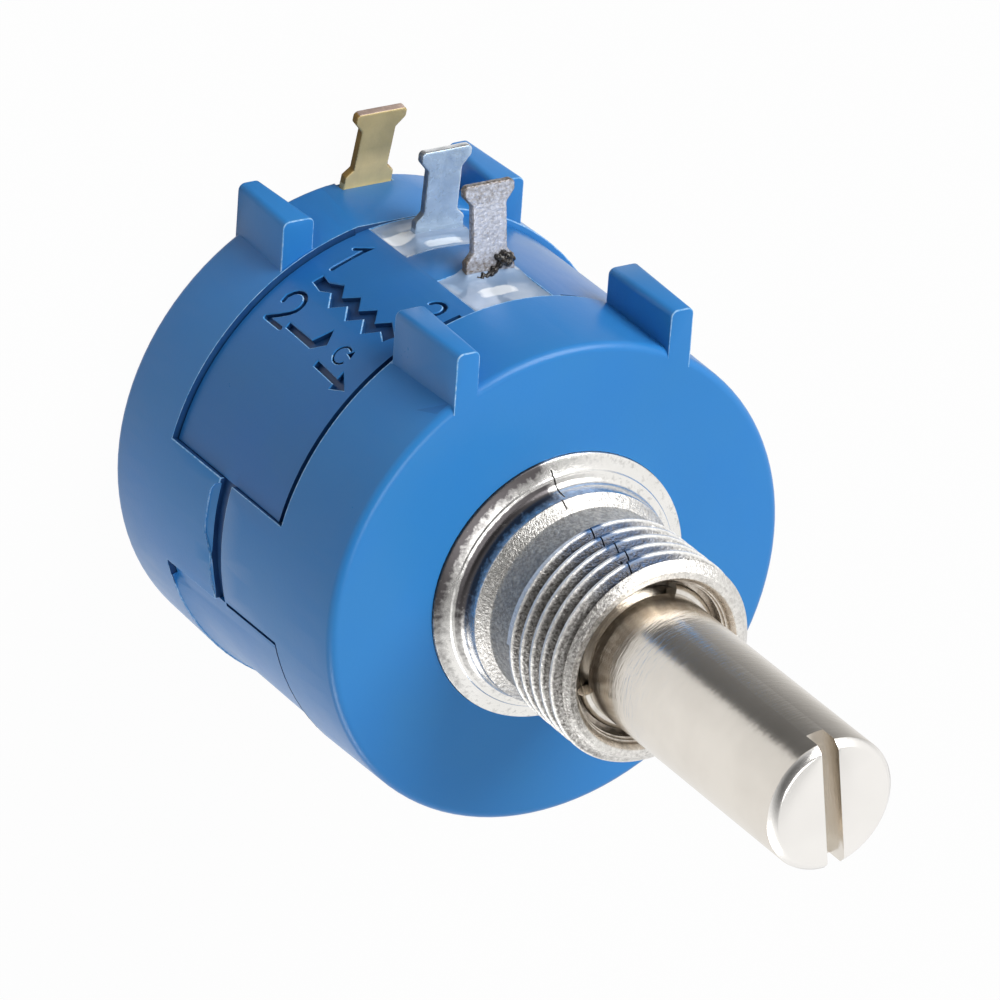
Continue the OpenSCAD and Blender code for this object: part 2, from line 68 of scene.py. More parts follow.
def closeEdit():
    bpy.ops.object.mode_set(mode="OBJECT")


def closeOutwards():
    bpy.ops.mesh.select_all(action="SELECT")
    bpy.ops.mesh.normals_make_consistent(inside=False)
    closeEdit()


def extrude(x, y, z):
    bpy.ops.mesh.extrude_region_move(TRANSFORM_OT_translate={"value": (x, y, z)})


def pick(piece, kind, wanted):
    # selects the faces, edges or vertices of the open piece for which wanted() is true
    shell = bmesh.from_edit_mesh(piece.data)
    for item in getattr(shell, kind):
        if wanted(item):
            item.select_set(True)
    shell.select_flush_mode()
    bmesh.update_edit_mesh(piece.data)


def applyModifiers(piece):
    makeActive(piece)
    for name in [m.name for m in piece.modifiers]:
        bpy.ops.object.modifier_apply(modifier=name)


def settle(piece):
    makeActive(piece)
    bpy.ops.object.transform_apply(location=True, rotation=True, scale=True)


def smooth(piece, angle):
    makeActive(piece)
    bpy.ops.object.shade_smooth_by_angle(angle=math.radians(angle))


def joinAll(pieces, name):
    clearSelection()
    for piece in pieces:
        piece.select_set(True)
    bpy.context.view_layer.objects.active = pieces[0]
    if len(pieces) > 1:
        bpy.ops.object.join()
    pieces[0].name = name
    return pieces[0]


def openEdges(piece):
    shell = bmesh.new()
    shell.from_mesh(piece.data)
    count = sum(1 for edge in shell.edges if len(edge.link_faces) != 2)
    shell.free()
    return count


def cutAway(piece, cutter, operation="DIFFERENCE"):
    cut = piece.modifiers.new("cut", "BOOLEAN")
    cut.operation = operation
    cut.solver = "EXACT"
    cut.object = cutter
    whole = piece.data.copy()
    applyModifiers(piece)
    if len(piece.data.polygons) < len(whole.polygons) / 2 or openEdges(piece):
        # the solver lost the shell, so the piece stays as it was
        print("cut left out:", cutter.name, "on", piece.name)
        piece.data = whole
    bpy.data.objects.remove(cutter)


def mergeDoubles(piece):
    openEdit(piece, "VERT", "SELECT")
    bpy.ops.mesh.remove_doubles(threshold=mergeDistance)
    closeEdit()


def copyOfNode(nodeName, pieceName):
    # a merged copy of a CAD node, with its flat faces whole again
    piece = bpy.data.objects.new(pieceName, nodes[nodeName].data.copy())
    scene.collection.objects.link(piece)
    piece.data.materials.clear()
    makeActive(piece)
    bpy.ops.mesh.customdata_custom_splitnormals_clear()
    openEdit(piece, "VERT", "SELECT")
    bpy.ops.mesh.remove_doubles(threshold=mergeDistance)
    bpy.ops.mesh.dissolve_limited(angle_limit=math.radians(0.6))
    closeEdit()
    return piece


def lathe(name, profile, steps):
    # profile: radius and height in mm, a closed line that is spun round the shaft's axis
    bpy.ops.mesh.primitive_plane_add(size=mm)
    piece = bpy.context.object
    piece.name = name
    openEdit(piece, "VERT", "SELECT")
    bpy.ops.mesh.merge(type="CENTER")
    bpy.ops.transform.translate(value=(profile[0][0] * mm, 0, profile[0][1] * mm))
    for last, point in zip(profile, profile[1:]):
        extrude((point[0] - last[0]) * mm, 0, (point[1] - last[1]) * mm)
    bpy.ops.mesh.select_all(action="SELECT")
    bpy.ops.mesh.spin(steps=steps, angle=math.tau, center=(0, 0, 0), axis=(0, 0, 1))
    bpy.ops.mesh.select_all(action="SELECT")
    bpy.ops.mesh.remove_doubles(threshold=mergeDistance)
    closeOutwards()
    return piece


def boxPiece(name, low, high):
    # a plain block, only ever used as a cutter
    bpy.ops.mesh.primitive_cube_add(size=1)
    piece = bpy.context.object
    piece.name = name
    piece.location = [(a + b) / 2 * mm for a, b in zip(low, high)]
    piece.scale = [(b - a) * mm for a, b in zip(low, high)]
    settle(piece)
    return piece


def arcPoints(x, y, radius, start, end, count):
    return [(x + radius * math.cos(math.radians(start + (end - start) * i / count)),
             y + radius * math.sin(math.radians(start + (end - start) * i / count)))
            for i in range(count + 1)]


def wear(point, scale, depth):
    return noise.fractal(point * scale, 1.0, 2.0, depth)


def paintVertices(piece, attribute, amountAt):
    # stores an amount on every vertex, which the materials read
    layer = piece.data.attributes.new(attribute, "FLOAT", "POINT")
    for vertex in piece.data.vertices:
        layer.data[vertex.index].value = amountAt(vertex)


def feed(tree, node, values):
    # each value is a number, a colour or the socket that the input is linked to
    for name, value in values.items():
        if isinstance(value, bpy.types.NodeSocket):
            tree.links.new(value, node.inputs[name])
        else:
            node.inputs[name].default_value = value


def addNode(tree, kind, values, **settings):
    node = tree.nodes.new(kind)
    for name, value in settings.items():
        setattr(node, name, value)
    feed(tree, node, values)
    return node


def combine(tree, operation, first, second):
    return addNode(tree, "ShaderNodeMath", {0: first, 1: second}, operation=operation).outputs[0]


def mixed(tree, kind, factor, under, over):
    values = {"Factor": factor, "A": under, "B": over}
    return addNode(tree, "ShaderNodeMix", values, data_type=kind).outputs["Result"]


def cloud(tree, vector, scale, detail, roughness):
    values = {"Vector": vector, "Scale": scale, "Detail": detail, "Roughness": roughness}
    return addNode(tree, "ShaderNodeTexNoise", values).outputs["Fac"]


def stretch(tree, value, low, high, newLow=0, newHigh=1):
    values = {"Value": value, "From Min": low, "From Max": high, "To Min": newLow, "To Max": newHigh}
    return addNode(tree, "ShaderNodeMapRange", values).outputs["Result"]


def bumped(tree, height, strength, depth):
    values = {"Height": height, "Strength": strength, "Distance": depth * mm}
    return addNode(tree, "ShaderNodeBump", values).outputs["Normal"]


def startGroup(name, result, kind, inputs):
    # a group that takes a vector and the named numbers or colours, and gives one result
    group = bpy.data.node_groups.new(name, "ShaderNodeTree")
    newSocket = group.interface.new_socket
    newSocket("Vector", in_out="INPUT", socket_type="NodeSocketVector")
    for inputName, value in inputs.items():
        socketType = "NodeSocketColor" if isinstance(value, tuple) else "NodeSocketFloat"
        newSocket(inputName, in_out="INPUT", socket_type=socketType).default_value = value
    newSocket(result, in_out="OUTPUT", socket_type=kind)
    return group, addNode(group, "NodeGroupInput", {}).outputs


def buildToneGroup():
    # slow drift between two colours
    group, start = startGroup("toneDrift", "Colour", "NodeSocketColor", {
        "Main Colour": (0.5, 0.5, 0.5, 1), "Second Colour": (0.4, 0.4, 0.4, 1), "Scale": 300, "Amount": 0.5})
    drift = stretch(group, cloud(group, start["Vector"], start["Scale"], 4, 0.55), 0.35, 0.65)
    share = combine(group, "MULTIPLY", drift, start["Amount"])
    colour = mixed(group, "RGBA", share, start["Main Colour"], start["Second Colour"])
    addNode(group, "NodeGroupOutput", {"Colour": colour})
    return group


def buildGrainGroup():
    # two sizes of grain added up, as a height
    group, start = startGroup("surfaceGrain", "Height", "NodeSocketFloat", {
        "Fine Scale": 9000, "Coarse Scale": 1200, "Coarse Share": 0.5})
    fine = cloud(group, start["Vector"], start["Fine Scale"], 2, 0.5)
    coarse = cloud(group, start["Vector"], start["Coarse Scale"], 3, 0.5)
    addNode(group, "NodeGroupOutput", {"Height": mixed(group, "FLOAT", start["Coarse Share"], fine, coarse)})
    return group


def buildTurnedGroup():
    # fine rings left by a lathe or by drawing, across the Z axis
    group, start = startGroup("turnedLines", "Height", "NodeSocketFloat", {"Lines": 12000, "Spread": 400})
    split = addNode(group, "ShaderNodeSeparateXYZ", {"Vector": start["Vector"]}).outputs
    squeezed = addNode(group, "ShaderNodeCombineXYZ", {
        axis: combine(group, "MULTIPLY", split[axis], start[amount])
        for axis, amount in (("X", "Spread"), ("Y", "Spread"), ("Z", "Lines"))})
    addNode(group, "NodeGroupOutput", {"Height": cloud(group, squeezed.outputs["Vector"], 1, 2, 0.6)})
    return group


def buildSoilShadeSheenGroup():
    # turns a painted amount into a broken-up patch; it carries dirt, painted shade and painted reflections
    group, start = startGroup("soilShadeSheenPatch", "Mask", "NodeSocketFloat", {"Amount": 0.0, "Scale": 4000, "Bite": 0.6})
    centred = combine(group, "SUBTRACT", cloud(group, start["Vector"], start["Scale"], 3, 0.65), 0.5)
    bitten = combine(group, "MULTIPLY", centred, start["Bite"])
    summed = combine(group, "ADD", bitten, start["Amount"])
    addNode(group, "NodeGroupOutput", {"Mask": stretch(group, summed, 0.2, 0.8)})
    return group


toneGroup = buildToneGroup()
grainGroup = buildGrainGroup()
turnedGroup = buildTurnedGroup()
soilShadeSheenGroup = buildSoilShadeSheenGroup()


def startMaterial(name):
    material = bpy.data.materials.new(name)
    material.use_nodes = True
    tree = material.node_tree
    place = addNode(tree, "ShaderNodeTexCoord", {}).outputs["Object"]
    return material, tree, tree.nodes["Principled BSDF"], place


def useGroup(tree, group, result, values):
    return addNode(tree, "ShaderNodeGroup", values, node_tree=group).outputs[result]


def tone(tree, place, main, second, scale, amount):
    return useGroup(tree, toneGroup, "Colour", {
        "Vector": place, "Main Colour": (*main, 1), "Second Colour": (*second, 1), "Scale": scale, "Amount": amount})


def patch(tree, place, attribute, scale, bite):
    # a broken-up mask from an amount that is painted on the vertices
    amount = addNode(tree, "ShaderNodeAttribute", {}, attribute_name=attribute).outputs["Fac"]
    return useGroup(tree, soilShadeSheenGroup, "Mask", {"Vector": place, "Amount": amount, "Scale": scale, "Bite": bite})


# what a look has unless it says otherwise
plainLook = dict(
    toneScale=400, toneAmount=0.6, fine=9000, coarse=1200, share=0.5, spread=400, strength=0.4, metallic=0, ior=1.5,
    coat=0, coatRoughness=0.1, soilShadeSheenScale=5000, soilShadeSheenBite=0.7, soilShadeSheenRoughness=0.5)


def surfaceMaterial(name, look):
    # colour drift, roughness drift, a grain or turned bump, and painted soil, painted shade and painted reflections,
    # as look says
    look = {**plainLook, **look}
    material, tree, shader, place = startMaterial(name)
    colour = tone(tree, place, look["colour"], look["second"], look["toneScale"], look["toneAmount"])
    if "root" in look:
        # lighter and more golden towards the lug's foot
        root = tone(tree, place, look["root"], look["rootDark"], look["rootScale"], look["rootAmount"])
        up = addNode(tree, "ShaderNodeSeparateXYZ", {"Vector": place}).outputs["Y"]
        low, high = [-(look["rootTop"] + step * look["rootFade"]) * mm for step in (1, -1)]
        colour = mixed(tree, "RGBA", stretch(tree, up, low, high), colour, root)
    if "lines" in look:
        height = useGroup(tree, turnedGroup, "Height", {
            "Vector": place, "Lines": look["lines"], "Spread": look["spread"]})
    else:
        height = useGroup(tree, grainGroup, "Height", {
            "Vector": place, "Fine Scale": look["fine"], "Coarse Scale": look["coarse"],
            "Coarse Share": look["share"]})
    roughness = stretch(tree, height, 0, 1, *look["roughness"])
    # a painted reflection of the blue barrel
    if "blueReflection" in look:
        mask = patch(tree, place, "blueReflection", look["blueReflectionScale"], look["blueReflectionBite"])
        colour = mixed(tree, "RGBA", mask, colour, (*look["blueReflection"], 1))
    # this mask lays on real dirt and scorch, painted shade and painted reflections, as each material uses it
    if "soilShadeSheen" in look:
        mask = patch(tree, place, "soilShadeSheen", look["soilShadeSheenScale"], look["soilShadeSheenBite"])
        colour = mixed(tree, "RGBA", mask, colour, (*look["soilShadeSheen"], 1))
        roughness = mixed(tree, "FLOAT", mask, roughness, look["soilShadeSheenRoughness"])
    feed(tree, shader, {
        "Base Color": colour, "Roughness": roughness, "Normal": bumped(tree, height, look["strength"], look["bump"]),
        "Metallic": look["metallic"], "IOR": look["ior"], "Coat Weight": look["coat"],
        "Coat Roughness": look["coatRoughness"]})
    return material


# every finish: colours as they render, scales of the drift and the grain, and the bump's depth in mm
looks = {
    "barrelPlastic": dict(
        colour=(0.028, 0.218, 0.585), second=(0.036, 0.232, 0.56), toneScale=160, roughness=(0.24, 0.36), fine=7000,
        coarse=900, share=0.6, bump=0.02, ior=1.39),
    # a darker copy of the barrel's blue for the recessed side panel: painted shade
    "shadedPanelPlastic": dict(
        colour=(0.021, 0.17, 0.5), second=(0.029, 0.186, 0.448), toneScale=160, roughness=(0.24, 0.36), fine=7000,
        coarse=900, share=0.6, bump=0.02, ior=1.39),
    # lighter blue for the bevels and rims: a painted highlight along the edges, with whitish worn specks
    "highlightEdgePlastic": dict(
        colour=(0.08, 0.35, 0.74), second=(0.48, 0.7, 0.92), toneScale=4800, toneAmount=0.75, roughness=(0.22, 0.36),
        fine=7000, coarse=900, bump=0.01),
    # dark blue for the floors of marks, grooves and steps: painted shade in the recesses
    "shadedRecessPlastic": dict(
        colour=(0.006, 0.052, 0.18), second=(0.016, 0.08, 0.22), toneScale=1200, roughness=(0.34, 0.5), fine=7000,
        coarse=2200, bump=0.02),
    "coverPlastic": dict(
        colour=(0.028, 0.21, 0.56), second=(0.034, 0.22, 0.53), toneScale=180, roughness=(0.3, 0.42), fine=7000,
        coarse=900, share=0.55, bump=0.012),
    # the bushing's nickels: their soil colour is painted shade and dark reflections, with some grey dirt
    "satinNickel": dict(
        colour=(0.84, 0.82, 0.785), second=(0.5, 0.48, 0.45), toneScale=6500, metallic=1, roughness=(0.2, 0.44),
        fine=15000, coarse=6500, bump=0.07, strength=0.9, soilShadeSheen=(0.1, 0.092, 0.085), soilShadeSheenScale=7500, soilShadeSheenBite=1.0,
        soilShadeSheenRoughness=0.42, blueReflection=(0.05, 0.1, 0.2), blueReflectionScale=9000, blueReflectionBite=0.45),
    "smoothNickel": dict(
        colour=(0.88, 0.865, 0.835), second=(0.8, 0.785, 0.75), toneScale=600, metallic=1, roughness=(0.14, 0.26),
        coarse=2500, bump=0.02, soilShadeSheen=(0.085, 0.078, 0.08), soilShadeSheenScale=3600, soilShadeSheenBite=0.85, soilShadeSheenRoughness=0.34),
    # a darker, duller copy of the nickel for the undercut: painted shade in the recess
    "dullShadedNickel": dict(
        colour=(0.66, 0.63, 0.57), second=(0.3, 0.285, 0.26), toneScale=6500, metallic=0.3, toneAmount=0.8,
        roughness=(0.38, 0.55), fine=15000, coarse=6500, bump=0.07, strength=0.9, soilShadeSheen=(0.12, 0.115, 0.11),
        soilShadeSheenScale=5200, soilShadeSheenBite=0.8),
    # near-white, barely metallic copy for the thread's crests: painted highlight lines
    "crestHighlightNickel": dict(
        colour=(0.92, 0.91, 0.88), second=(0.62, 0.6, 0.57), toneScale=6000, metallic=0.2, roughness=(0.18, 0.34),
        fine=12000, coarse=5000, bump=0.03, soilShadeSheen=(0.1, 0.092, 0.085), soilShadeSheenScale=7500, soilShadeSheenBite=0.8,
        soilShadeSheenRoughness=0.42, blueReflection=(0.055, 0.105, 0.2), blueReflectionScale=9000, blueReflectionBite=0.45),
    "shaftNickel": dict(
        colour=(0.79, 0.745, 0.68), second=(0.68, 0.635, 0.575), toneScale=260, metallic=1, roughness=(0.16, 0.28),
        lines=7000, spread=1400, bump=0.026, strength=0.6),
    # a lighter copy of the shaft's nickel for the end face: painted highlight
    "litEndNickel": dict(
        colour=(0.91, 0.885, 0.85), second=(0.86, 0.835, 0.8), toneScale=500, metallic=1, roughness=(0.16, 0.28),
        coarse=1500, bump=0.01),
    # brownish, dirty nickel for the mouth round the shaft; its dark soil is partly painted shade
    "dirtyShadedMouthNickel": dict(
        colour=(0.8, 0.75, 0.68), second=(0.42, 0.34, 0.27), toneScale=1600, metallic=1, roughness=(0.16, 0.4),
        fine=8000, coarse=2000, bump=0.03, soilShadeSheen=(0.055, 0.042, 0.03), soilShadeSheenScale=2600, soilShadeSheenBite=1.0,
        soilShadeSheenRoughness=0.4),
    "ringSteel": dict(
        colour=(0.8, 0.765, 0.71), second=(0.52, 0.47, 0.41), toneScale=1200, metallic=1, roughness=(0.16, 0.32),
        coarse=2500, bump=0.01),
    "tinnedBrass": dict(
        colour=(0.55, 0.7, 0.86), second=(0.38, 0.5, 0.64), toneScale=1100, metallic=0.25, roughness=(0.18, 0.36),
        fine=5000, coarse=1300, share=0.7, bump=0.05, strength=0.6),
    "tinnedShade": dict(
        colour=(0.13, 0.17, 0.22), second=(0.3, 0.33, 0.37), toneScale=1800, metallic=0.5, roughness=(0.3, 0.5),
        fine=6000, coarse=1500, share=0.6, bump=0.03),
    # a near-white copy for the lug's top and far side: painted highlight
    "tinnedHighlightEdge": dict(
        colour=(0.93, 0.94, 0.95), second=(0.62, 0.64, 0.68), toneScale=1800, metallic=0.9, roughness=(0.16, 0.34),
        fine=6000, coarse=1500, share=0.6, bump=0.03),
    "solderedTin": dict(
        colour=(0.66, 0.69, 0.78), second=(0.4, 0.4, 0.42), toneScale=5200, metallic=0.45, roughness=(0.2, 0.5),
        fine=12000, coarse=5600, share=0.6, bump=0.06, strength=0.7, soilShadeSheen=(0.15, 0.115, 0.085), soilShadeSheenScale=6500,
        soilShadeSheenBite=1.3, soilShadeSheenRoughness=0.4),
    "burntFlux": dict(
        colour=(0.006, 0.005, 0.004), second=(0.03, 0.02, 0.014), toneScale=3000, roughness=(0.08, 0.3), coarse=4000,
        share=0.6, bump=0.05),
    # its pale, glossy soil patches are painted reflections
    "pottingEpoxy": dict(
        colour=(0.24, 0.35, 0.53), second=(0.35, 0.44, 0.57), toneScale=700, roughness=(0.05, 0.14), fine=3000,
        coarse=900, share=0.8, bump=0.02, coat=0.5, coatRoughness=0.04, soilShadeSheen=(0.8, 0.86, 0.93), soilShadeSheenScale=1100,
        soilShadeSheenBite=2.4, soilShadeSheenRoughness=0.08),
    "bareBrass": dict(
        colour=(0.62, 0.49, 0.23), second=(0.5, 0.39, 0.185), toneScale=1100, toneAmount=0.7, metallic=0.15,
        roughness=(0.34, 0.5), coarse=2000, bump=0.02, strength=0.5, root=(0.9, 0.68, 0.32),
        rootDark=(0.74, 0.55, 0.26), rootScale=1600, rootAmount=0.5, rootTop=12.6, rootFade=0.4),
    "brassTop": dict(
        colour=(0.42, 0.31, 0.26), second=(0.66, 0.5, 0.42), toneScale=2600, metallic=0.4, roughness=(0.3, 0.5),
        bump=0.03),
    "brassSide": dict(
        colour=(0.5, 0.31, 0.09), second=(0.3, 0.17, 0.06), toneScale=1500, metallic=0.4, roughness=(0.3, 0.5),
        bump=0.03),
    "clipMetal": dict(
        colour=(0.62, 0.58, 0.5), second=(0.5, 0.46, 0.38), toneScale=1500, metallic=1, roughness=(0.25, 0.4),
        bump=0.01),
    "springBronze": dict(
        colour=(0.62, 0.42, 0.2), second=(0.52, 0.34, 0.16), toneScale=900, metallic=1, roughness=(0.2, 0.35),
        bump=0.01),
    "washerSteel": dict(
        colour=(0.5, 0.5, 0.5), second=(0.42, 0.42, 0.42), toneScale=900, metallic=1, roughness=(0.3, 0.45),
        lines=14000, bump=0.01),
    "rotorPlastic": dict(
        colour=(0.72, 0.68, 0.58), second=(0.66, 0.61, 0.5), toneScale=300, roughness=(0.4, 0.55), bump=0.015),
    "rodBrass": dict(
        colour=(0.7, 0.52, 0.24), second=(0.6, 0.43, 0.19), toneScale=700, metallic=1, roughness=(0.18, 0.3),
        lines=16000, bump=0.008),
    "carrierPlastic": dict(
        colour=(0.035, 0.035, 0.04), second=(0.055, 0.055, 0.06), toneScale=900, roughness=(0.4, 0.55), bump=0.015),
}
materials = {name: surfaceMaterial(name, look) for name, look in looks.items()}


def wireMaterial(name, look):
    # resistance wire close-wound on a mandrel: fine slanting ridges
    material, tree, shader, place = startMaterial(name)
    ridges = addNode(tree, "ShaderNodeTexWave", {
        "Vector": place, "Scale": look["ridges"], "Distortion": 0.4, "Detail": 1},
        wave_type="BANDS", bands_direction="DIAGONAL")
    feed(tree, shader, {
        "Base Color": tone(tree, place, look["colour"], look["second"], look["toneScale"], look["toneAmount"]),
        "Normal": bumped(tree, ridges.outputs["Fac"], look["strength"], look["bump"]),
        "Metallic": 1, "Roughness": look["roughness"]})
    return material


materials["elementWire"] = wireMaterial("elementWire", dict(
    colour=(0.34, 0.25, 0.16), second=(0.26, 0.19, 0.12), toneScale=800, toneAmount=0.6, roughness=0.35,
    ridges=2600, bump=0.02, strength=0.6))
print("materials ready,", len(materials))


def dress(piece, *names):
    piece.data.materials.clear()
    for name in names:
        piece.data.materials.append(materials[name])


# the moulded barrel with its parting grooves and recessed marks
barrel = {
    "panelRadius": 11.05,
    "edgeSoftness": 0.05,
    "markLip": 0.05,
    "markDepth": 0.26,
    "markAbove": 0.06,  # how far a mark's cutter stands out of the panel
    "recessTurn": 76,  # degrees from the lug side, where the panel ends
    "farTurn": 106,  # and where the far recess starts
    "rearStep": -13.85,
    "frontStep": -4.85,
    "channelMiddle": -9.35,
    "channelHalf": 0.45,
    "channelStop": {"width": 0.94, "turn": 2.46, "low": -0.3, "rise": 0.304},
    "farWedge": {"start": 3.7, "length": 1.5, "height": 0.27, "end": 180.3},
    "scoop": {"start": 77.2, "end": 105, "along": -9.80, "upperWidth": 0.52, "lowerWidth": 0.12, "surface": 0.20,
              "deep": 0.06},
}
# material slots of the barrel: its blue, the painted edge highlight, the painted shade of the recesses, and the
# darker side panel, also painted shade
mainFace, highlightEdgeFace, shadedRecessFace, shadedPanelFace = 0, 1, 2, 3


def strokeOutline(points, width, roundEnds=True):
    # both sides of a line as one closed outline, mitred at the corners
    half = width / 2
    places = [Vector(p) for p in points]
    headings = [(b - a).normalized() for a, b in zip(places, places[1:])]
    left, right = [], []
    for i, place in enumerate(places):
        before = headings[max(0, i - 1)]
        after = headings[min(i, len(headings) - 1)]
        middle = (before + after).normalized()
        side = Vector((-middle.y, middle.x))
        reach = half / max(0.35, side.dot(Vector((-after.y, after.x))))
        left.append(place + side * reach)
        right.append(place - side * reach)
    outline = list(left)
    for tip, heading, rim in ((places[-1], headings[-1], right), (places[0], -headings[0], left)):
        if roundEnds:
            first = math.atan2(heading.y, heading.x) + math.pi / 2
            for k in range(1, 6):
                turn = first - math.pi * k / 6
                outline.append(tip + Vector((math.cos(turn), math.sin(turn))) * half)
        if rim is right:
            outline.extend(reversed(right))
    return [tuple(p) for p in outline]


def markCutter(name, outline):
    # a flat outline, sunk in two steps so that the mark gets a soft lip and a floor, then wrapped on the barrel; the
    # floor carries painted shade, and the lip faces turned to the light carry a painted highlight
    curve = bpy.data.curves.new(name, "CURVE")
    curve.dimensions = "2D"
    curve.fill_mode = "BOTH"
    line = curve.splines.new("POLY")
    line.points.add(len(outline) - 1)
    for point, (x, y) in zip(line.points, outline):
        point.co = (x, y, 0, 1)
    line.use_cyclic_u = True
    cutter = bpy.data.objects.new(name, curve)
    scene.collection.objects.link(cutter)
    makeActive(cutter)
    bpy.ops.object.convert(target="MESH")
    cutter = bpy.context.object
    openEdit(cutter, "FACE", "SELECT")
    bpy.ops.mesh.remove_doubles(threshold=mergeDistance)
    bpy.ops.mesh.dissolve_limited(angle_limit=math.radians(1))
    pick(cutter, "faces", lambda face: True)
    shell = bmesh.from_edit_mesh(cutter.data)
    if shell.faces[:][0].normal.z > 0:
        bpy.ops.mesh.flip_normals()
    bpy.ops.transform.translate(value=(0, 0, barrel["markAbove"]))
    extrude(0, 0, -barrel["markAbove"])
    lip = barrel["markLip"]
    bpy.ops.mesh.inset(thickness=lip, depth=lip * 0.8)
    extrude(0, 0, lip * 0.8 - barrel["markDepth"])
    closeOutwards()
    # lip faces turned towards the light, which get the painted highlight
    lit = {face.index for face in cutter.data.polygons if face.normal.y < -0.3}
    wrapOnBarrel(cutter)
    for face in cutter.data.polygons:
        onLip = reachOf(face.center) > barrel["panelRadius"] - barrel["markLip"]
        face.material_index = (highlightEdgeFace if face.index in lit else mainFace) if onLip else shadedRecessFace
    return cutter


def reachOf(point):
    # distance from the shaft's axis in mm
    return math.hypot(point.x, point.y) / mm


def wrapOnBarrel(piece):
    # from mm along the axis, mm round the barrel and mm outwards, to the barrel's surface
    radius = barrel["panelRadius"]
    for vertex in piece.data.vertices:
        along, up, out = vertex.co
        turn = -up / radius
        reach = (radius + out) * mm
        vertex.co = (reach * math.sin(turn), -reach * math.cos(turn), along * mm)


def wrappedBlock(cuts, place):
    # a block wrapped on the barrel; place turns its three shares into mm along, degrees of turn and mm outwards
    bpy.ops.mesh.primitive_cube_add(size=1)
    block = bpy.context.object
    openEdit(block, "EDGE")
    pick(block, "edges", lambda e: abs(e.verts[0].co.y - e.verts[1].co.y) > 0.5)
    bpy.ops.mesh.subdivide(number_cuts=cuts)
    closeEdit()
    for vertex in block.data.vertices:
        share = vertex.co + Vector((0.5, 0.5, 0.5))
        along, turn, out = place(share.x, share.y, share.z)
        vertex.co = (along, -math.radians(turn) * barrel["panelRadius"], out)
    wrapOnBarrel(block)
    openEdit(block, "FACE", "SELECT")
    closeOutwards()
    return block


def painted(piece, paint):
    for face in piece.data.polygons:
        face.material_index = paint
    return piece


def grooveCutter(alongLow, alongHigh, turnLow, turnHigh, depth, paint):
    # turns are degrees from the lug side, the depth is in mm below the panel
    cutter = wrappedBlock(max(1, round(abs(turnHigh - turnLow) / 2.5)), lambda a, t, o: (
        alongLow + (alongHigh - alongLow) * a, turnLow + (turnHigh - turnLow) * t, -depth + (0.6 + depth) * o))
    return painted(cutter, paint)


def scoopCutter(side):
    # the shallow hollow beside the relief channel: wide at its upper end, pinched, then a little wider again
    scoop = barrel["scoop"]

    def place(a, t, o):
        upper = min(1.0, (t / 0.10) ** 0.5, max(0.0, (0.62 - t) / 0.16)) * scoop["upperWidth"]
        lower = max(0.0, 1 - abs((t - 0.82) / 0.17) ** 2) * scoop["lowerWidth"]
        width = max(upper, lower, 0.005)
        shallow = scoop["surface"] - 0.05
        bottom = shallow - (shallow - scoop["deep"]) * a
        turn = scoop["start"] + (scoop["end"] - scoop["start"]) * t
        return scoop["along"] - width * (1 - a) + 0.06 * a, side * turn, 0.6 if o > 0.5 else bottom
    cutter = wrappedBlock(28, place)
    # the hollow's rim faces get the painted edge highlight
    for face in cutter.data.polygons:
        face.material_index = highlightEdgeFace if abs(face.normal.z) > 0.8 else mainFace
    return cutter


# the places are millimetres along the axis and round the barrel, 0 being the middle of the lug side
figureTwo = ([(-12.76, -7.02), (-12.80, -6.74)] + arcPoints(-12.20, -6.80, 0.57, 165, -25, 9)
             + [(-11.86, -7.28), (-12.28, -7.64), (-12.74, -7.96)])
figureThree = (arcPoints(-6.42, -3.02, 0.46, 170, -60, 9)[:-1] + [(-6.30, -3.46)]
               + arcPoints(-6.42, -3.96, 0.50, 60, -170, 9))
turnSign = arcPoints(-7.46, -7.28, 0.44, 335, 52, 18)
marks = {
    "figureOne": strokeOutline([(-12.42, -4.55), (-12.42, -2.68), (-12.88, -3.12)], 0.30),
    "figureTwo": strokeOutline(figureTwo, 0.28),
    "twoBase": strokeOutline([(-12.80, -8.02), (-11.62, -8.02)], 0.30),
    "figureThree": strokeOutline(figureThree, 0.28),
    "zigzag": strokeOutline([(-12.45, -5.30), (-11.72, -5.42), (-11.05, -5.12), (-10.40, -5.68), (-9.70, -5.10),
                             (-9.03, -5.68), (-8.34, -5.10), (-7.70, -5.68), (-7.05, -5.10), (-6.25, -5.50)],
                            0.62, False),
    "bentArrow": [(-11.42, -7.53), (-9.55, -7.55), (-9.05, -6.58), (-8.58, -7.36), (-9.25, -7.96), (-11.40, -7.90)],
    "axialArrow": [(-8.36, -8.05), (-6.64, -8.16), (-6.66, -7.72), (-5.66, -8.42), (-6.60, -8.80), (-6.62, -8.52),
                   (-8.34, -8.44)],
    "turnSign": strokeOutline(turnSign, 0.18, False),
    "turnHead": [(-7.03, -6.72), (-7.36, -7.13), (-6.86, -7.24)],
}


def isOuterEdge(edge, angle):
    # sharp edges that show from outside, apart from the thin steps along the parting lines
    if len(edge.link_faces) != 2 or edge.calc_face_angle(0) < math.radians(angle):
        return False
    middle = (edge.verts[0].co + edge.verts[1].co) / 2 / mm
    radius = math.hypot(middle.x, middle.y)
    turn = abs(math.degrees(math.atan2(middle.x, -middle.y)))
    channelEnd = (abs(middle.z - barrel["channelMiddle"]) < 0.6
                  and not barrel["recessTurn"] - 0.2 < turn < barrel["farTurn"] + 0.2)
    return edge.is_convex and radius > 10.85 and middle.z > -18.1 and not channelEnd


housing = copyOfNode("housing", "barrel_body")
dress(housing, "barrelPlastic", "highlightEdgePlastic", "shadedRecessPlastic", "shadedPanelPlastic")
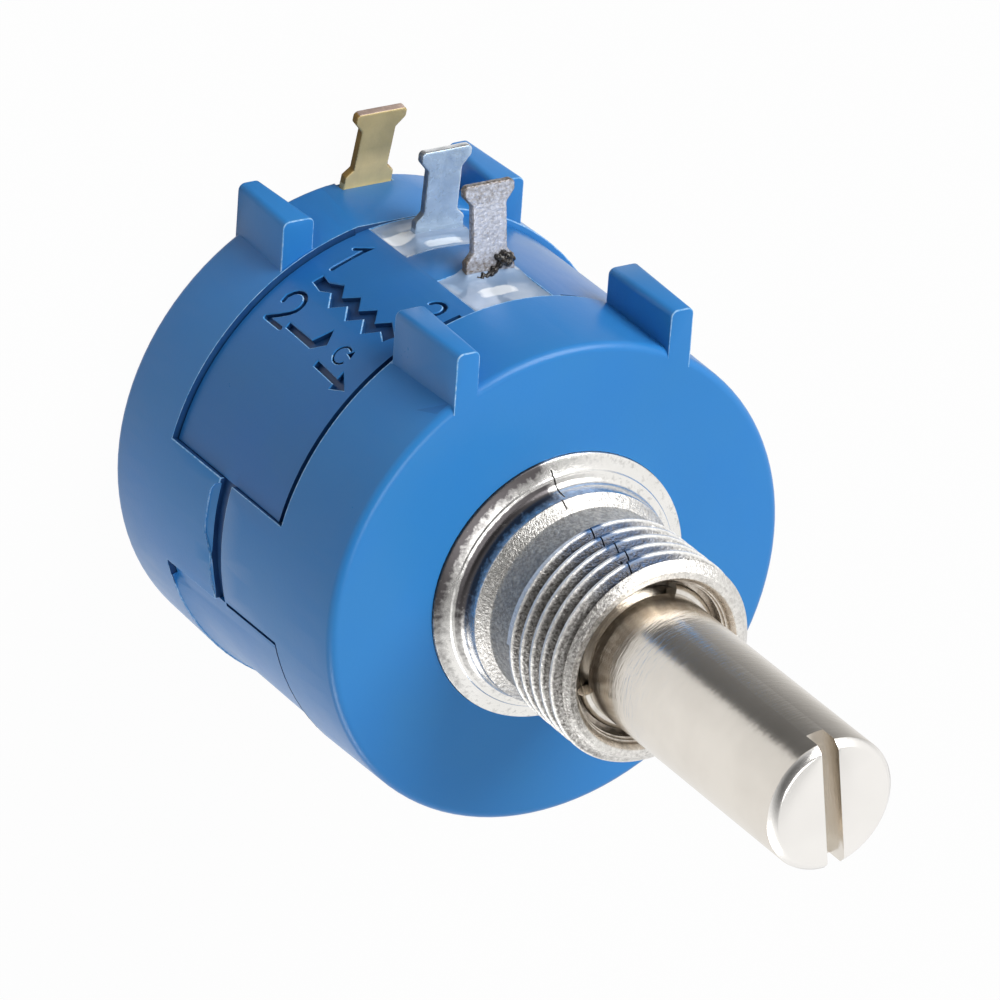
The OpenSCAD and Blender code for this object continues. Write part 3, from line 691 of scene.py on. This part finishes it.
# the recessed panel takes the darker copy, painted shade
for face in housing.data.polygons:
    if (abs(reachOf(face.center) - barrel["panelRadius"]) < 0.05 and abs(face.normal.z) < 0.1
            and face.center.y < 0 and face.center.z / mm > barrel["rearStep"]):
        face.material_index = shadedPanelFace
# the bevels on the outer edges take the painted highlight
openEdit(housing, "EDGE")
pick(housing, "edges", lambda edge: isOuterEdge(edge, 28))
bpy.ops.mesh.bevel(offset=barrel["edgeSoftness"] * mm, segments=2, affect="EDGES", clamp_overlap=False,
                   material=highlightEdgeFace)
closeEdit()
rearStep, frontStep, recessTurn = barrel["rearStep"], barrel["frontStep"], barrel["recessTurn"]
for name, outline in marks.items():
    cutAway(housing, markCutter(name, outline))
farTurn, channelMiddle = barrel["farTurn"], barrel["channelMiddle"]
stopSize, wedge = barrel["channelStop"], barrel["farWedge"]
for side in (-1, 1):
    # the ends of the relief channel stop at the recesses
    for turn, paint in ((recessTurn - 1.33, shadedPanelFace), (farTurn + 1.37, mainFace)):
        stop = wrappedBlock(2, lambda a, t, o: (
            channelMiddle + (a - 0.5) * stopSize["width"], side * (turn + (t - 0.5) * stopSize["turn"]),
            stopSize["low"] + stopSize["rise"] * o))
        cutAway(housing, painted(stop, paint), "UNION")
    cutAway(housing, scoopCutter(side))
    # the far step fades out into the barrel
    overlap = 0.4 if side > 0 else 0  # the two wedges meet behind the barrel
    wedgeSpan = wedge["end"] + overlap - farTurn - wedge["start"]
    cutAway(housing, wrappedBlock(30, lambda a, t, o: (
        rearStep - 0.15 + wedge["length"] * a, side * (farTurn + wedge["start"] + wedgeSpan * t),
        -0.3 if o < 0.5 else (wedge["height"] * (1 - a)) * min(1, t * 25) - 0.02)), "UNION")
    # parting lines: degrees from the lug side, mm along, depth and paint; the dark ones carry painted shade, and the
    # last, shallow one is a painted highlight along the front band's edge
    grooves = [
        (13, recessTurn, frontStep - 0.40, frontStep + 0.01, 0.30, shadedRecessFace),
        (recessTurn - 0.2, recessTurn + 0.02, rearStep - 0.01, frontStep + 0.01, 0.18, shadedRecessFace),
        (farTurn + 0.13, farTurn + 4.1, rearStep - 0.03, rearStep + 0.07, 0.05, shadedRecessFace),
        (farTurn - 1.9, farTurn - 1.0, channelMiddle + 0.57, frontStep + 0.14, 0.034, shadedRecessFace),
        (farTurn - 1.45, 138.6, frontStep + 0.052, frontStep + 0.15, 0.021, shadedRecessFace),
        (-12.7 if side > 0 else 14, recessTurn - 0.4, frontStep - 0.013, frontStep + 0.10, -0.127, highlightEdgeFace)]
    if side > 0:
        grooves.append((13, recessTurn, rearStep - 0.02, rearStep + 0.07, 0.24, shadedRecessFace))
    for near, far, low, high, depth, paint in grooves:
        turnLow, turnHigh = sorted((side * near, side * far))
        cutAway(housing, grooveCutter(low, high, turnLow, turnHigh, depth, paint))
mergeDoubles(housing)
# the rear step's wall and the relief channel's floor get the painted shade too
for face in housing.data.polygons:
    centre, reach = face.center / mm, reachOf(face.center)
    turn = math.degrees(math.atan2(centre.x, -centre.y))
    onRearStep = (abs(centre.z - rearStep) < 0.03 and 10.9 < reach < 11.3 and abs(face.normal.z) > 0.7
                  and -10 < turn < farTurn + 6)
    inChannel = (abs(centre.z - channelMiddle) < barrel["channelHalf"] and 10.7 < reach < 11.0
                 and recessTurn < abs(turn) < farTurn)
    if onRearStep or inChannel:
        face.material_index = shadedRecessFace
smooth(housing, 32)
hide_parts("housing")
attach(housing, "housing")
print("barrel done,", len(housing.data.polygons), "faces")


# the turned bushing with its cut thread
bushing = {
    "pitch": 0.794,
    "firstCrest": 3.97,
    "crestRadius": 4.76,
    "rootRadius": 4.27,
    "steps": 160,
    "crestEase": 0.11,
    "rootHalf": 0.05,
    "flankAngle": 27,
    "threadTurns": 7,
    "threadSteps": 96,
    "seamHalf": 0.035,
    # the seam of the rolled bar: low and high, inner and outer radius, degrees from the lug side, lean
    "seams": [(0.12, 1.30, 4.85, 5.8, 9.2, 1.5), (1.40, 1.72, 4.62, 5.2, 12.2, -1), (3.5, 5.1, 4.20, 5.0, 12.4, 1),
              (5.0, 6.5, 4.20, 5.0, 12.9, -1.5), (6.4, 7.4, 4.20, 5.0, 12.6, 2)],
    # where painted shade and dark reflections lie, with some grey dirt: degrees from +X over which they come and go
    "shadySide": (-82, -74, 14, -20),
    "leftSide": (-112, -70, 95, 45),
    "collarSide": (-30, 0, 48, 25),
    "mouthSide": (-68, -50, 48, 20),
    "blueReflectionSide": -78,
}


def threadCutter():
    # one V section, wound up by the Screw modifier
    pitch = bushing["pitch"]
    root, crest = bushing["rootRadius"], bushing["crestRadius"]
    start = bushing["firstCrest"] - pitch / 2
    ease = bushing["crestEase"]
    flat = bushing["rootHalf"]
    flank = flat + (crest - ease - root) * math.tan(math.radians(bushing["flankAngle"]))
    section = [(root, flat), (crest - ease, flank), (crest + 0.02, flank + 0.11), (crest + 0.3, flank + 0.13)]
    corners = [(r, start + h) for r, h in section] + [(r, start - h) for r, h in reversed(section)]
    bpy.ops.mesh.primitive_circle_add(vertices=len(corners), radius=mm, fill_type="NGON")
    cutter = bpy.context.object
    for vertex, (radius, height) in zip(cutter.data.vertices, corners):
        vertex.co = (radius * mm, 0, height * mm)
    openEdit(cutter, "FACE", "SELECT")
    bpy.ops.mesh.delete(type="ONLY_FACE")
    closeEdit()
    wind = cutter.modifiers.new("wind", "SCREW")
    wind.axis = "Z"
    wind.angle = math.tau
    wind.screw_offset = pitch * mm
    wind.iterations = bushing["threadTurns"]
    wind.steps = wind.render_steps = bushing["threadSteps"]
    wind.use_merge_vertices = False
    applyModifiers(cutter)
    openEdit(cutter, "FACE", "SELECT")
    bpy.ops.mesh.fill_holes(sides=8)
    closeOutwards()
    return cutter


bushingProfile = ([(3.03, -2.4), (5.6, -2.4), (5.6, -1.62), (4.6, -1.62), (4.6, -0.65), (6.15, -0.65), (6.15, 0.02)]
                  + arcPoints(6.09, 0.08, 0.06, 0, 70, 2)
                  + [(5.95, 0.18), (5.52, 0.40), (5.47, 0.47), (5.40, 0.50)]
                  + arcPoints(5.39, 0.93, 0.40, 262, 184, 6)
                  + [(4.96, 1.38), (4.93, 1.45), (4.55, 1.80), (4.46, 1.88), (4.40, 2.02), (4.40, 3.30), (4.46, 3.42),
                     (bushing["crestRadius"], 3.72), (bushing["crestRadius"], 7.45), (4.28, 7.91), (4.24, 7.93),
                     (3.97, 7.93), (3.93, 7.91), (3.77, 7.72), (3.75, 7.68), (3.75, 7.56), (3.72, 7.53), (3.67, 7.52),
                     (3.66, 7.49), (3.66, 7.40), (3.63, 7.37), (3.59, 7.36), (3.58, 7.33), (3.58, 6.60), (3.03, 6.60),
                     (3.03, -2.4)])
collarFace, mouthFace, undercutFace, crestHighlightFace = 1, 2, 3, 4
bushingBody = lathe("bushing_body", bushingProfile, bushing["steps"])
cutAway(bushingBody, threadCutter())
for side in (-1, 1):
    near, far = sorted((side * 4.3, side * 6))
    cutAway(bushingBody, boxPiece("tailFlat", (near, -6, -1.62), (far, 6, -0.65)))
for low, high, inner, outer, turn, twist in bushing["seams"]:
    seam = boxPiece("seam", (-bushing["seamHalf"], -outer, low), (bushing["seamHalf"], -inner, high))
    seam.data.transform(Matrix.Rotation(math.radians(turn), 4, "Z") @ Matrix.Rotation(math.radians(twist), 4, "Y"))
    cutAway(bushingBody, seam)
mergeDoubles(bushingBody)
smooth(bushingBody, 24)
dress(bushingBody, "satinNickel", "smoothNickel", "dirtyShadedMouthNickel", "dullShadedNickel", "crestHighlightNickel")


def ramp(value, low, high):
    # 0 below low, 1 above high; turned round when low is above high
    return min(1.0, max(0.0, (value - low) / (high - low)))


def between(side, span):
    # rises over the first two angles of span and falls over the last two
    return ramp(side, span[0], span[1]) * ramp(side, span[2], span[3])


def bushingShadeAndSoil(point):
    # how dark a place is painted, by its side of the bushing (degrees from +X) and its height: painted shade in the
    # roots and the mouth, painted dark reflections on the flange and collar, and some grey dirt
    side = math.degrees(math.atan2(point.y, point.x))
    radius, height = math.hypot(point.x, point.y), point.z
    shadySide, leftSide = between(side, bushing["shadySide"]), between(side, bushing["leftSide"])
    farSide = ramp(side, -84, -96) if side < 0 else ramp(side, 150, 175)
    if height > 6.5 and radius < 3.9:
        return 0.38 - 0.33 * ramp(abs(side), 112, 140)
    if height > 7.44:
        return 0.16 + 0.42 * between(side, bushing["mouthSide"]) if radius < 4.30 else 0.42 * leftSide + 0.1
    if height > 3.4:
        return 0.05 if radius > 4.72 else 0.27 + 0.38 * leftSide + 0.14 * farSide
    if height > 1.36:
        return 0.24 + 0.22 * leftSide
    if 5.36 < radius < 5.60:
        return 0.08 + 0.34 * shadySide
    return 0.20 + 0.70 * shadySide + 0.26 * between(side, bushing["collarSide"])


def bushingBlueReflection(point):
    # painted blue reflection beside the seam, wide on the thread's crests and narrow at its root
    side = math.degrees(math.atan2(point.y, point.x))
    radius = math.hypot(point.x, point.y)
    if not 3.45 < point.z < 7.5 or radius < 4.0:
        return 0.0
    reach = 6 + 22 * ramp(radius, bushing["crestRadius"] - 0.01, bushing["crestRadius"] - 0.09)
    return max(0.0, min(1.0, 1.45 - abs(side - bushing["blueReflectionSide"]) / reach))


paintVertices(bushingBody, "soilShadeSheen", lambda vertex: bushingShadeAndSoil(vertex.co / mm))
paintVertices(bushingBody, "blueReflection", lambda vertex: bushingBlueReflection(vertex.co / mm))
for face in bushingBody.data.polygons:
    centre = face.center / mm
    radius = math.hypot(centre.x, centre.y)
    if centre.z > 6.5 and radius < 3.9:
        face.material_index = mouthFace
    # the undercut takes the darker copy, painted shade
    elif 1.9 < centre.z < 3.4:
        face.material_index = undercutFace
    # the crests take the painted highlight copy
    elif 3.5 < centre.z < 7.44 and radius > bushing["crestRadius"] - (
            0.02 if math.atan2(centre.y, centre.x) > math.radians(-76) else bushing["crestEase"] - 0.02):
        face.material_index = crestHighlightFace
    elif 0.1 < centre.z < 1.44 or centre.z < -0.5:
        face.material_index = collarFace
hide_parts("bushing")
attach(bushingBody, "housing")
print("bushing done,", len(bushingBody.data.polygons), "faces")


# the shaft: a ground bar with a sawn slot
shaft = {
    "radius": 3.0,
    "top": 21.33,
    "chamfer": 0.30,
    "slotWidth": 0.80,
    "slotDepth": 1.15,
    "slotTurn": 98.6,
    "ringGroove": (6.63, 7.37, 2.65),
    "driveFlat": 2.6,
    "steps": 128,
    "softness": 0.035,
}
top, edge, bar = shaft["top"], shaft["chamfer"], shaft["radius"]
grooveLow, grooveHigh, grooveRadius = shaft["ringGroove"]
shaftProfile = [(0, -17.45), (1.9, -17.45), (2.0, -17.35), (2.0, -15.85), (bar, -15.85), (bar, grooveLow),
                (grooveRadius, grooveLow), (grooveRadius, grooveHigh), (bar, grooveHigh), (bar, top - edge - 0.06),
                (bar - 0.02, top - edge), (bar - edge, top - 0.03), (bar - edge - 0.07, top), (0, top)]
shaftBody = lathe("shaft_body", shaftProfile, shaft["steps"])
slotCutter = boxPiece("slotCutter", (-4, -shaft["slotWidth"] / 2, top - shaft["slotDepth"]),
                      (4, shaft["slotWidth"] / 2, top + 1))
slotCutter.data.transform(Matrix.Rotation(math.radians(shaft["slotTurn"]), 4, "Z"))
cutAway(shaftBody, slotCutter)
for side in (-1, 1):
    near, far = sorted((side * shaft["driveFlat"], side * 4))
    cutAway(shaftBody, boxPiece("driveFlat", (-4, near, -17), (4, far, -3.3)))
openEdit(shaftBody, "EDGE")
pick(shaftBody, "edges", lambda e: len(e.link_faces) == 2 and e.calc_face_angle(0) > math.radians(35)
     and min(v.co.z for v in e.verts) > (top - shaft["slotDepth"] + 0.01) * mm)
bpy.ops.mesh.bevel(offset=shaft["softness"] * mm, segments=2, affect="EDGES", clamp_overlap=True)
closeEdit()
mergeDoubles(shaftBody)
smooth(shaftBody, 28)
dress(shaftBody, "shaftNickel", "litEndNickel")
# the end face takes the lighter copy, a painted highlight
litEndFace = 1
for face in shaftBody.data.polygons:
    if face.center.z > (top - 0.32) * mm and face.normal.z > 0.3:
        face.material_index = litEndFace
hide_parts("shaft")
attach(shaftBody, "shaft")
print("shaft done,", len(shaftBody.data.polygons), "faces")


# lugs of stamped sheet: one bare, one tinned, one soldered and scorched
lugs = {
    "softness": 0.07,
    "bend": 11.3,
    "voxel": 0.042,
    "solderGrain": 0.022,
    "tinGrain": 0.02,
    "brassGrain": 0.008,
    "fluxVoxel": 0.05,
    "fluxShift": (0.14, 0.06, -0.04),
    "fluxSize": 0.95,
    # crumbs of burnt flux on the front lug's foot: x, y, z and radius
    "fluxCrumbs": [
        (-1.50, -11.46, -7.66, 0.20), (-1.22, -11.60, -7.70, 0.22), (-1.00, -11.78, -7.74, 0.17),
        (-1.55, -11.72, -7.72, 0.19), (-1.30, -11.88, -7.76, 0.18), (-1.72, -11.58, -7.70, 0.15),
        (-1.10, -11.40, -7.66, 0.16), (-0.85, -11.22, -7.62, 0.15), (-0.62, -11.10, -7.60, 0.17),
        (-0.40, -11.02, -7.58, 0.14), (-0.18, -10.98, -7.56, 0.17), (0.02, -11.00, -7.60, 0.13),
        (-0.75, -11.36, -7.68, 0.11), (-0.25, -11.12, -7.62, 0.13)],
}


def stampedLug(nodeName, pieceName, softness):
    lug = copyOfNode(nodeName, pieceName)
    openEdit(lug, "EDGE")
    pick(lug, "edges", lambda e: len(e.link_faces) == 2 and e.calc_face_angle(0) > math.radians(30)
         and max(v.co.y for v in e.verts) < -lugs["bend"] * mm)
    bpy.ops.mesh.bevel(offset=softness * mm, segments=3, affect="EDGES", clamp_overlap=False)
    closeEdit()
    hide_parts(nodeName)
    return lug


def reskin(piece, voxel):
    # the whole skin again in small even faces
    remesh = piece.modifiers.new("skin", "REMESH")
    remesh.mode = "VOXEL"
    remesh.voxel_size = voxel * mm
    applyModifiers(piece)
    for face in piece.data.polygons:
        face.use_smooth = True


def coatLug(lug, depth, scale, detail):
    # a skin of tin or solder, whose surface sinks unevenly on the blade
    reskin(lug, lugs["voxel"])
    blade = [v for v in lug.data.vertices if v.co.y < -lugs["bend"] * mm]
    moved = []
    for vertex in blade:
        place = vertex.co / mm
        lump = wear(place, scale, detail) * 0.6 - 0.4
        moved.append(vertex.co + vertex.normal * depth * mm * max(-1.3, min(0.1, lump)))
    for vertex, place in zip(blade, moved):
        vertex.co = place


def edgeSlots(lug, topSlot, nearSlot, farSlot):
    # the cut edges of the sheet: the narrow top, the side towards +X and the side away from it
    for face in lug.data.polygons:
        if face.center.y < -lugs["bend"] * mm:
            if face.normal.y < -0.75:
                face.material_index = topSlot
            elif face.normal.x > 0.6:
                face.material_index = nearSlot
            elif face.normal.x < -0.35:
                face.material_index = farSlot


def lugSoil(vertex):
    # scorched along its outline, on the head and at the foot
    up = -vertex.co.y / mm
    amount = 0.17 + (0.32 if abs(vertex.normal.z) < 0.95 else 0)
    return amount + (0.20 * ramp(up, 13.9, 14.3) + 0.34 * ramp(up, 12.1, 11.6))


rearLug = stampedLug("terminal_2", "lug_rear", 0.05)
coatLug(rearLug, lugs["brassGrain"], 1.1, 2)
dress(rearLug, "bareBrass", "brassTop", "brassSide")
edgeSlots(rearLug, topSlot=1, nearSlot=2, farSlot=2)
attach(rearLug, "housing")

middleLug = stampedLug("terminal_1", "lug_middle", lugs["softness"])
coatLug(middleLug, lugs["tinGrain"], 1.3, 3)
dress(middleLug, "tinnedBrass", "tinnedHighlightEdge", "tinnedShade")
# the top and far side take the painted highlight, the side towards +X the painted shade
edgeSlots(middleLug, topSlot=1, nearSlot=2, farSlot=1)
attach(middleLug, "housing")

frontLug = stampedLug("terminal_3", "lug_front", lugs["softness"])
coatLug(frontLug, lugs["solderGrain"], 8.0, 3)
paintVertices(frontLug, "soilShadeSheen", lugSoil)
dress(frontLug, "solderedTin")
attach(frontLug, "housing")

crumbs = []
for x, y, z, radius in lugs["fluxCrumbs"]:
    place = [(a + b) * mm for a, b in zip((x, y, z), lugs["fluxShift"])]
    bpy.ops.mesh.primitive_ico_sphere_add(subdivisions=3, radius=radius * lugs["fluxSize"] * mm, location=place)
    crumb = bpy.context.object
    settle(crumb)
    crumbs.append(crumb)
flux = joinAll(crumbs, "burnt_flux")
reskin(flux, lugs["fluxVoxel"])
for vertex in flux.data.vertices:
    vertex.co += vertex.normal * 0.05 * mm * wear(vertex.co / mm, 6.0, 3)
dress(flux, "burntFlux")
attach(flux, "housing")
print("lugs done,", len(frontLug.data.polygons), "faces on the front one")


# potting: cast round the lugs, it climbs the window's walls and the lug
potting = {
    "floor": 10.2,
    "level": 10.86,
    "rim": 0.15,
    "rimReach": 0.22,
    "lugRise": 0.30,
    "lugReach": 0.30,
    "cell": 0.06,
    "wave": 0.014,
    # painted reflections: middle across and along, half width and half length
    "paintedReflectionSpots": {"potting_3": [(-0.15, -6.45, 0.85, 0.36)],
                   "potting_1": [(-0.5, -11.5, 0.85, 0.26), (1.2, -12.5, 0.6, 0.45)]},
    # where the lug's foot comes through: middle across and along, half width
    "lugFoot": {"potting_3": (-0.55, -7.95, 1.18), "potting_1": (-0.65, -12.36, 1.18)},
    "lugHalf": 0.2,
}


def pottingPiece(nodeName, pieceName):
    low, high = [Vector(corner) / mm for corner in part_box(nodeName)]
    footX, footZ, footHalf = potting["lugFoot"][nodeName]
    wide, long = high.x - low.x, high.z - low.z
    across, along = round(wide / potting["cell"]), round(long / potting["cell"])
    bpy.ops.mesh.primitive_grid_add(x_subdivisions=across, y_subdivisions=along, size=1)
    block = bpy.context.object
    block.name = pieceName
    block.scale = (wide, long, 1)
    settle(block)
    openEdit(block, "FACE", "SELECT")
    extrude(0, 0, 1)
    closeOutwards()
    for vertex in block.data.vertices:
        x = vertex.co.x + (low.x + high.x) / 2
        z = vertex.co.y + (low.z + high.z) / 2
        if vertex.co.z > 0.5:
            wall = min(x - low.x, high.x - x, z - low.z, high.z - z)
            lugGap = math.hypot(max(0, abs(x - footX) - footHalf), max(0, abs(z - footZ) - potting["lugHalf"]))
            reach = (potting["level"] + potting["rim"] * math.exp(-wall / potting["rimReach"])
                     + potting["lugRise"] * math.exp(-lugGap / potting["lugReach"])
                     + potting["wave"] * wear(Vector((x, 0, z)), 0.9, 2))
        else:
            reach = potting["floor"]
        depth = math.sqrt(max(0.1, reach * reach - x * x))
        vertex.co = Vector((x, -depth, z)) * mm
    openEdit(block, "FACE", "SELECT")
    closeOutwards()
    smooth(block, 50)

    # each spot fades from its middle: a painted reflection
    def reflectionSpotAmount(vertex):
        place = vertex.co / mm
        gaps = [(abs((place.x - x) / wideHalf) ** 4 + abs((place.z - z) / longHalf) ** 4) ** 0.25
                for x, z, wideHalf, longHalf in potting["paintedReflectionSpots"][nodeName]]
        return 1.6 * ramp(min(gaps), 1.35, 0.75) - 0.4

    paintVertices(block, "soilShadeSheen", reflectionSpotAmount)
    dress(block, "pottingEpoxy")
    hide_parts(nodeName)
    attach(block, "housing")


pottingPiece("potting_3", "potting_front")
pottingPiece("potting_1", "potting_middle")
print("potting done")


# inner pieces and small hardware keep their CAD shape
keptNodes = {
    "rear_cover": "coverPlastic",
    "resistance_element": "elementWire",
    "end_clip_1": "clipMetal",
    "end_clip_3": "clipMetal",
    "slip_ring_brush": "springBronze",
    "retaining_ring": "ringSteel",
    "thrust_washer": "washerSteel",
    "rotor": "rotorPlastic",
    "guide_rod": "rodBrass",
    "slip_ring": "rodBrass",
    "contact_carrier": "carrierPlastic",
    "wiper_spring": "springBronze",
}
for nodeName, materialName in keptNodes.items():
    slot = nodes[nodeName].material_slots[0]
    slot.link = "OBJECT"
    slot.material = materials[materialName]


# floor, lamps and camera
studio = {
    "floorHeight": -18.2,
    "worldLevel": 0.18,
    # place, size and watts
    "lamps": {
        "keyLamp": ((-0.195, -0.40, 0.335), 0.38, 3.0),
        "frontLamp": ((0.04, -0.02, 0.60), 0.30, 1.1),
        "bounceLamp": ((0.24, 0.40, 0.05), 0.30, 1.15),
    },
    "floorShade": 0.45,
    "floorGlow": 0.975,
    # the grey card on the floor: degrees from +X and brightness
    "floorCard": [(-180, 0.90), (-150, 0.52), (-118, 0.25), (-94, 0.17), (-66, 0.11), (-59, 0.90), (0, 1.0),
                  (180, 0.94)],
    # where it is left white: degrees, and metres from the axis
    "whiteZone": [(-180, 1), (-100, 1), (-92, 0), (180, 0)],
    "whiteReach": (0.0285, 0.0265),
    # the darker part of the room: its direction, where it starts and is full, and its brightness
    "cardDirection": (0.349, -0.349, 0.870),
    "cardReach": (0.45, 0.88),
    "cardShade": 0.12,
}
# the camera's own axes, its place in mm and its lens
cameraView = {
    "right": (-0.852414, -0.066668, 0.518599),
    "up": (-0.182913, -0.891146, -0.415213),
    "back": (0.489829, -0.448792, 0.747431),
    "place": (191.3553, -177.0386, 287.1164),
    "lens": 331.0416,
    "sensor": 36,
}


def rayMask(tree):
    # 1 for camera, glossy and transmission rays, and the camera's share of it
    rays = addNode(tree, "ShaderNodeLightPath", {}).outputs
    seen = combine(tree, "MAXIMUM", rays["Is Camera Ray"], rays["Is Glossy Ray"])
    return combine(tree, "MAXIMUM", seen, rays["Is Transmission Ray"]), rays["Is Camera Ray"]


def greyRamp(tree, source, stops):
    # stops are degrees from +X and a brightness
    shade = addNode(tree, "ShaderNodeValToRGB", {"Fac": source})
    points = shade.color_ramp.elements
    while len(points) < len(stops):
        points.new(0.5)
    for point, (degrees, level) in zip(points, stops):
        point.position = degrees / 360 + 0.5
        point.color = (level, level, level, 1)
    return shade.outputs["Color"]


def blendShaders(tree, share, under, over, end):
    blend = addNode(tree, "ShaderNodeMixShader", {"Fac": share, 1: under, 2: over})
    feed(tree, tree.nodes[end], {"Surface": blend.outputs["Shader"]})


def buildFloor():
    bpy.ops.mesh.primitive_plane_add(size=6, location=(0, 0, (studio["floorHeight"] - 0.02) * mm))
    floor = bpy.context.object
    floor.name = "floor"
    settle(floor)
    material, tree, shader, place = startMaterial("palePaper")
    feed(tree, shader, {"Base Color": (*[studio["floorShade"]] * 3, 1), "Roughness": 0.9})
    # in reflections a grey card lies on the lug side of the floor, with paper left white close to the body
    around = addNode(tree, "ShaderNodeTexGradient", {"Vector": place}, gradient_type="RADIAL").outputs["Fac"]
    away = addNode(tree, "ShaderNodeVectorMath", {0: place}, operation="LENGTH").outputs["Value"]
    beside = combine(tree, "MULTIPLY", stretch(tree, away, *studio["whiteReach"]),
                     greyRamp(tree, around, studio["whiteZone"]))
    card = combine(tree, "MAXIMUM", greyRamp(tree, around, studio["floorCard"]), beside)
    mask, cameraRay = rayMask(tree)
    level = combine(tree, "MAXIMUM", card, cameraRay)
    glow = addNode(tree, "ShaderNodeEmission", {"Color": (1, 1, 1, 1), "Strength": level})
    share = combine(tree, "MULTIPLY", mask, studio["floorGlow"])
    blendShaders(tree, share, shader.outputs["BSDF"], glow.outputs["Emission"], "Material Output")
    floor.data.materials.append(material)


def buildWorld():
    # plain soft light; in reflections the room is darker in front of the object
    world = bpy.data.worlds.new("studioRoom")
    scene.world = world
    world.use_nodes = True
    tree = world.node_tree
    room = tree.nodes["Background"]
    feed(tree, room, {"Color": (1, 1, 1, 1), "Strength": studio["worldLevel"]})
    direction = addNode(tree, "ShaderNodeTexCoord", {}).outputs["Generated"]
    facing = addNode(tree, "ShaderNodeVectorMath", {0: direction, 1: studio["cardDirection"]},
                     operation="DOT_PRODUCT").outputs["Value"]
    mask, cameraRay = rayMask(tree)
    level = combine(tree, "MAXIMUM", stretch(tree, facing, *studio["cardReach"], 1.0, studio["cardShade"]), cameraRay)
    white = addNode(tree, "ShaderNodeBackground", {"Color": (1, 1, 1, 1), "Strength": level})
    blendShaders(tree, mask, room.outputs["Background"], white.outputs["Background"], "World Output")


def addLamp(name, place, size, watts):
    bpy.ops.object.light_add(type="AREA", location=place)
    lamp = bpy.context.object
    lamp.name = name
    lamp.data.shape = "SQUARE"
    lamp.data.size = size
    lamp.data.energy = watts
    lamp.rotation_mode = "QUATERNION"
    lamp.rotation_quaternion = (-Vector(place)).to_track_quat("-Z", "Y")


def addCamera():
    bpy.ops.object.camera_add()
    camera = bpy.context.object
    turn = Matrix([cameraView[axis] for axis in ("right", "up", "back")]).transposed().to_4x4()
    camera.matrix_world = Matrix.Translation(Vector(cameraView["place"]) * mm) @ turn
    camera.data.lens = cameraView["lens"]
    camera.data.sensor_width = cameraView["sensor"]
    camera.data.clip_start = 0.01
    scene.camera = camera


buildFloor()
buildWorld()
for lampName, (place, size, watts) in studio["lamps"].items():
    addLamp(lampName, place, size, watts)
addCamera()
scene.view_settings.view_transform = "Standard"
print("studio done")
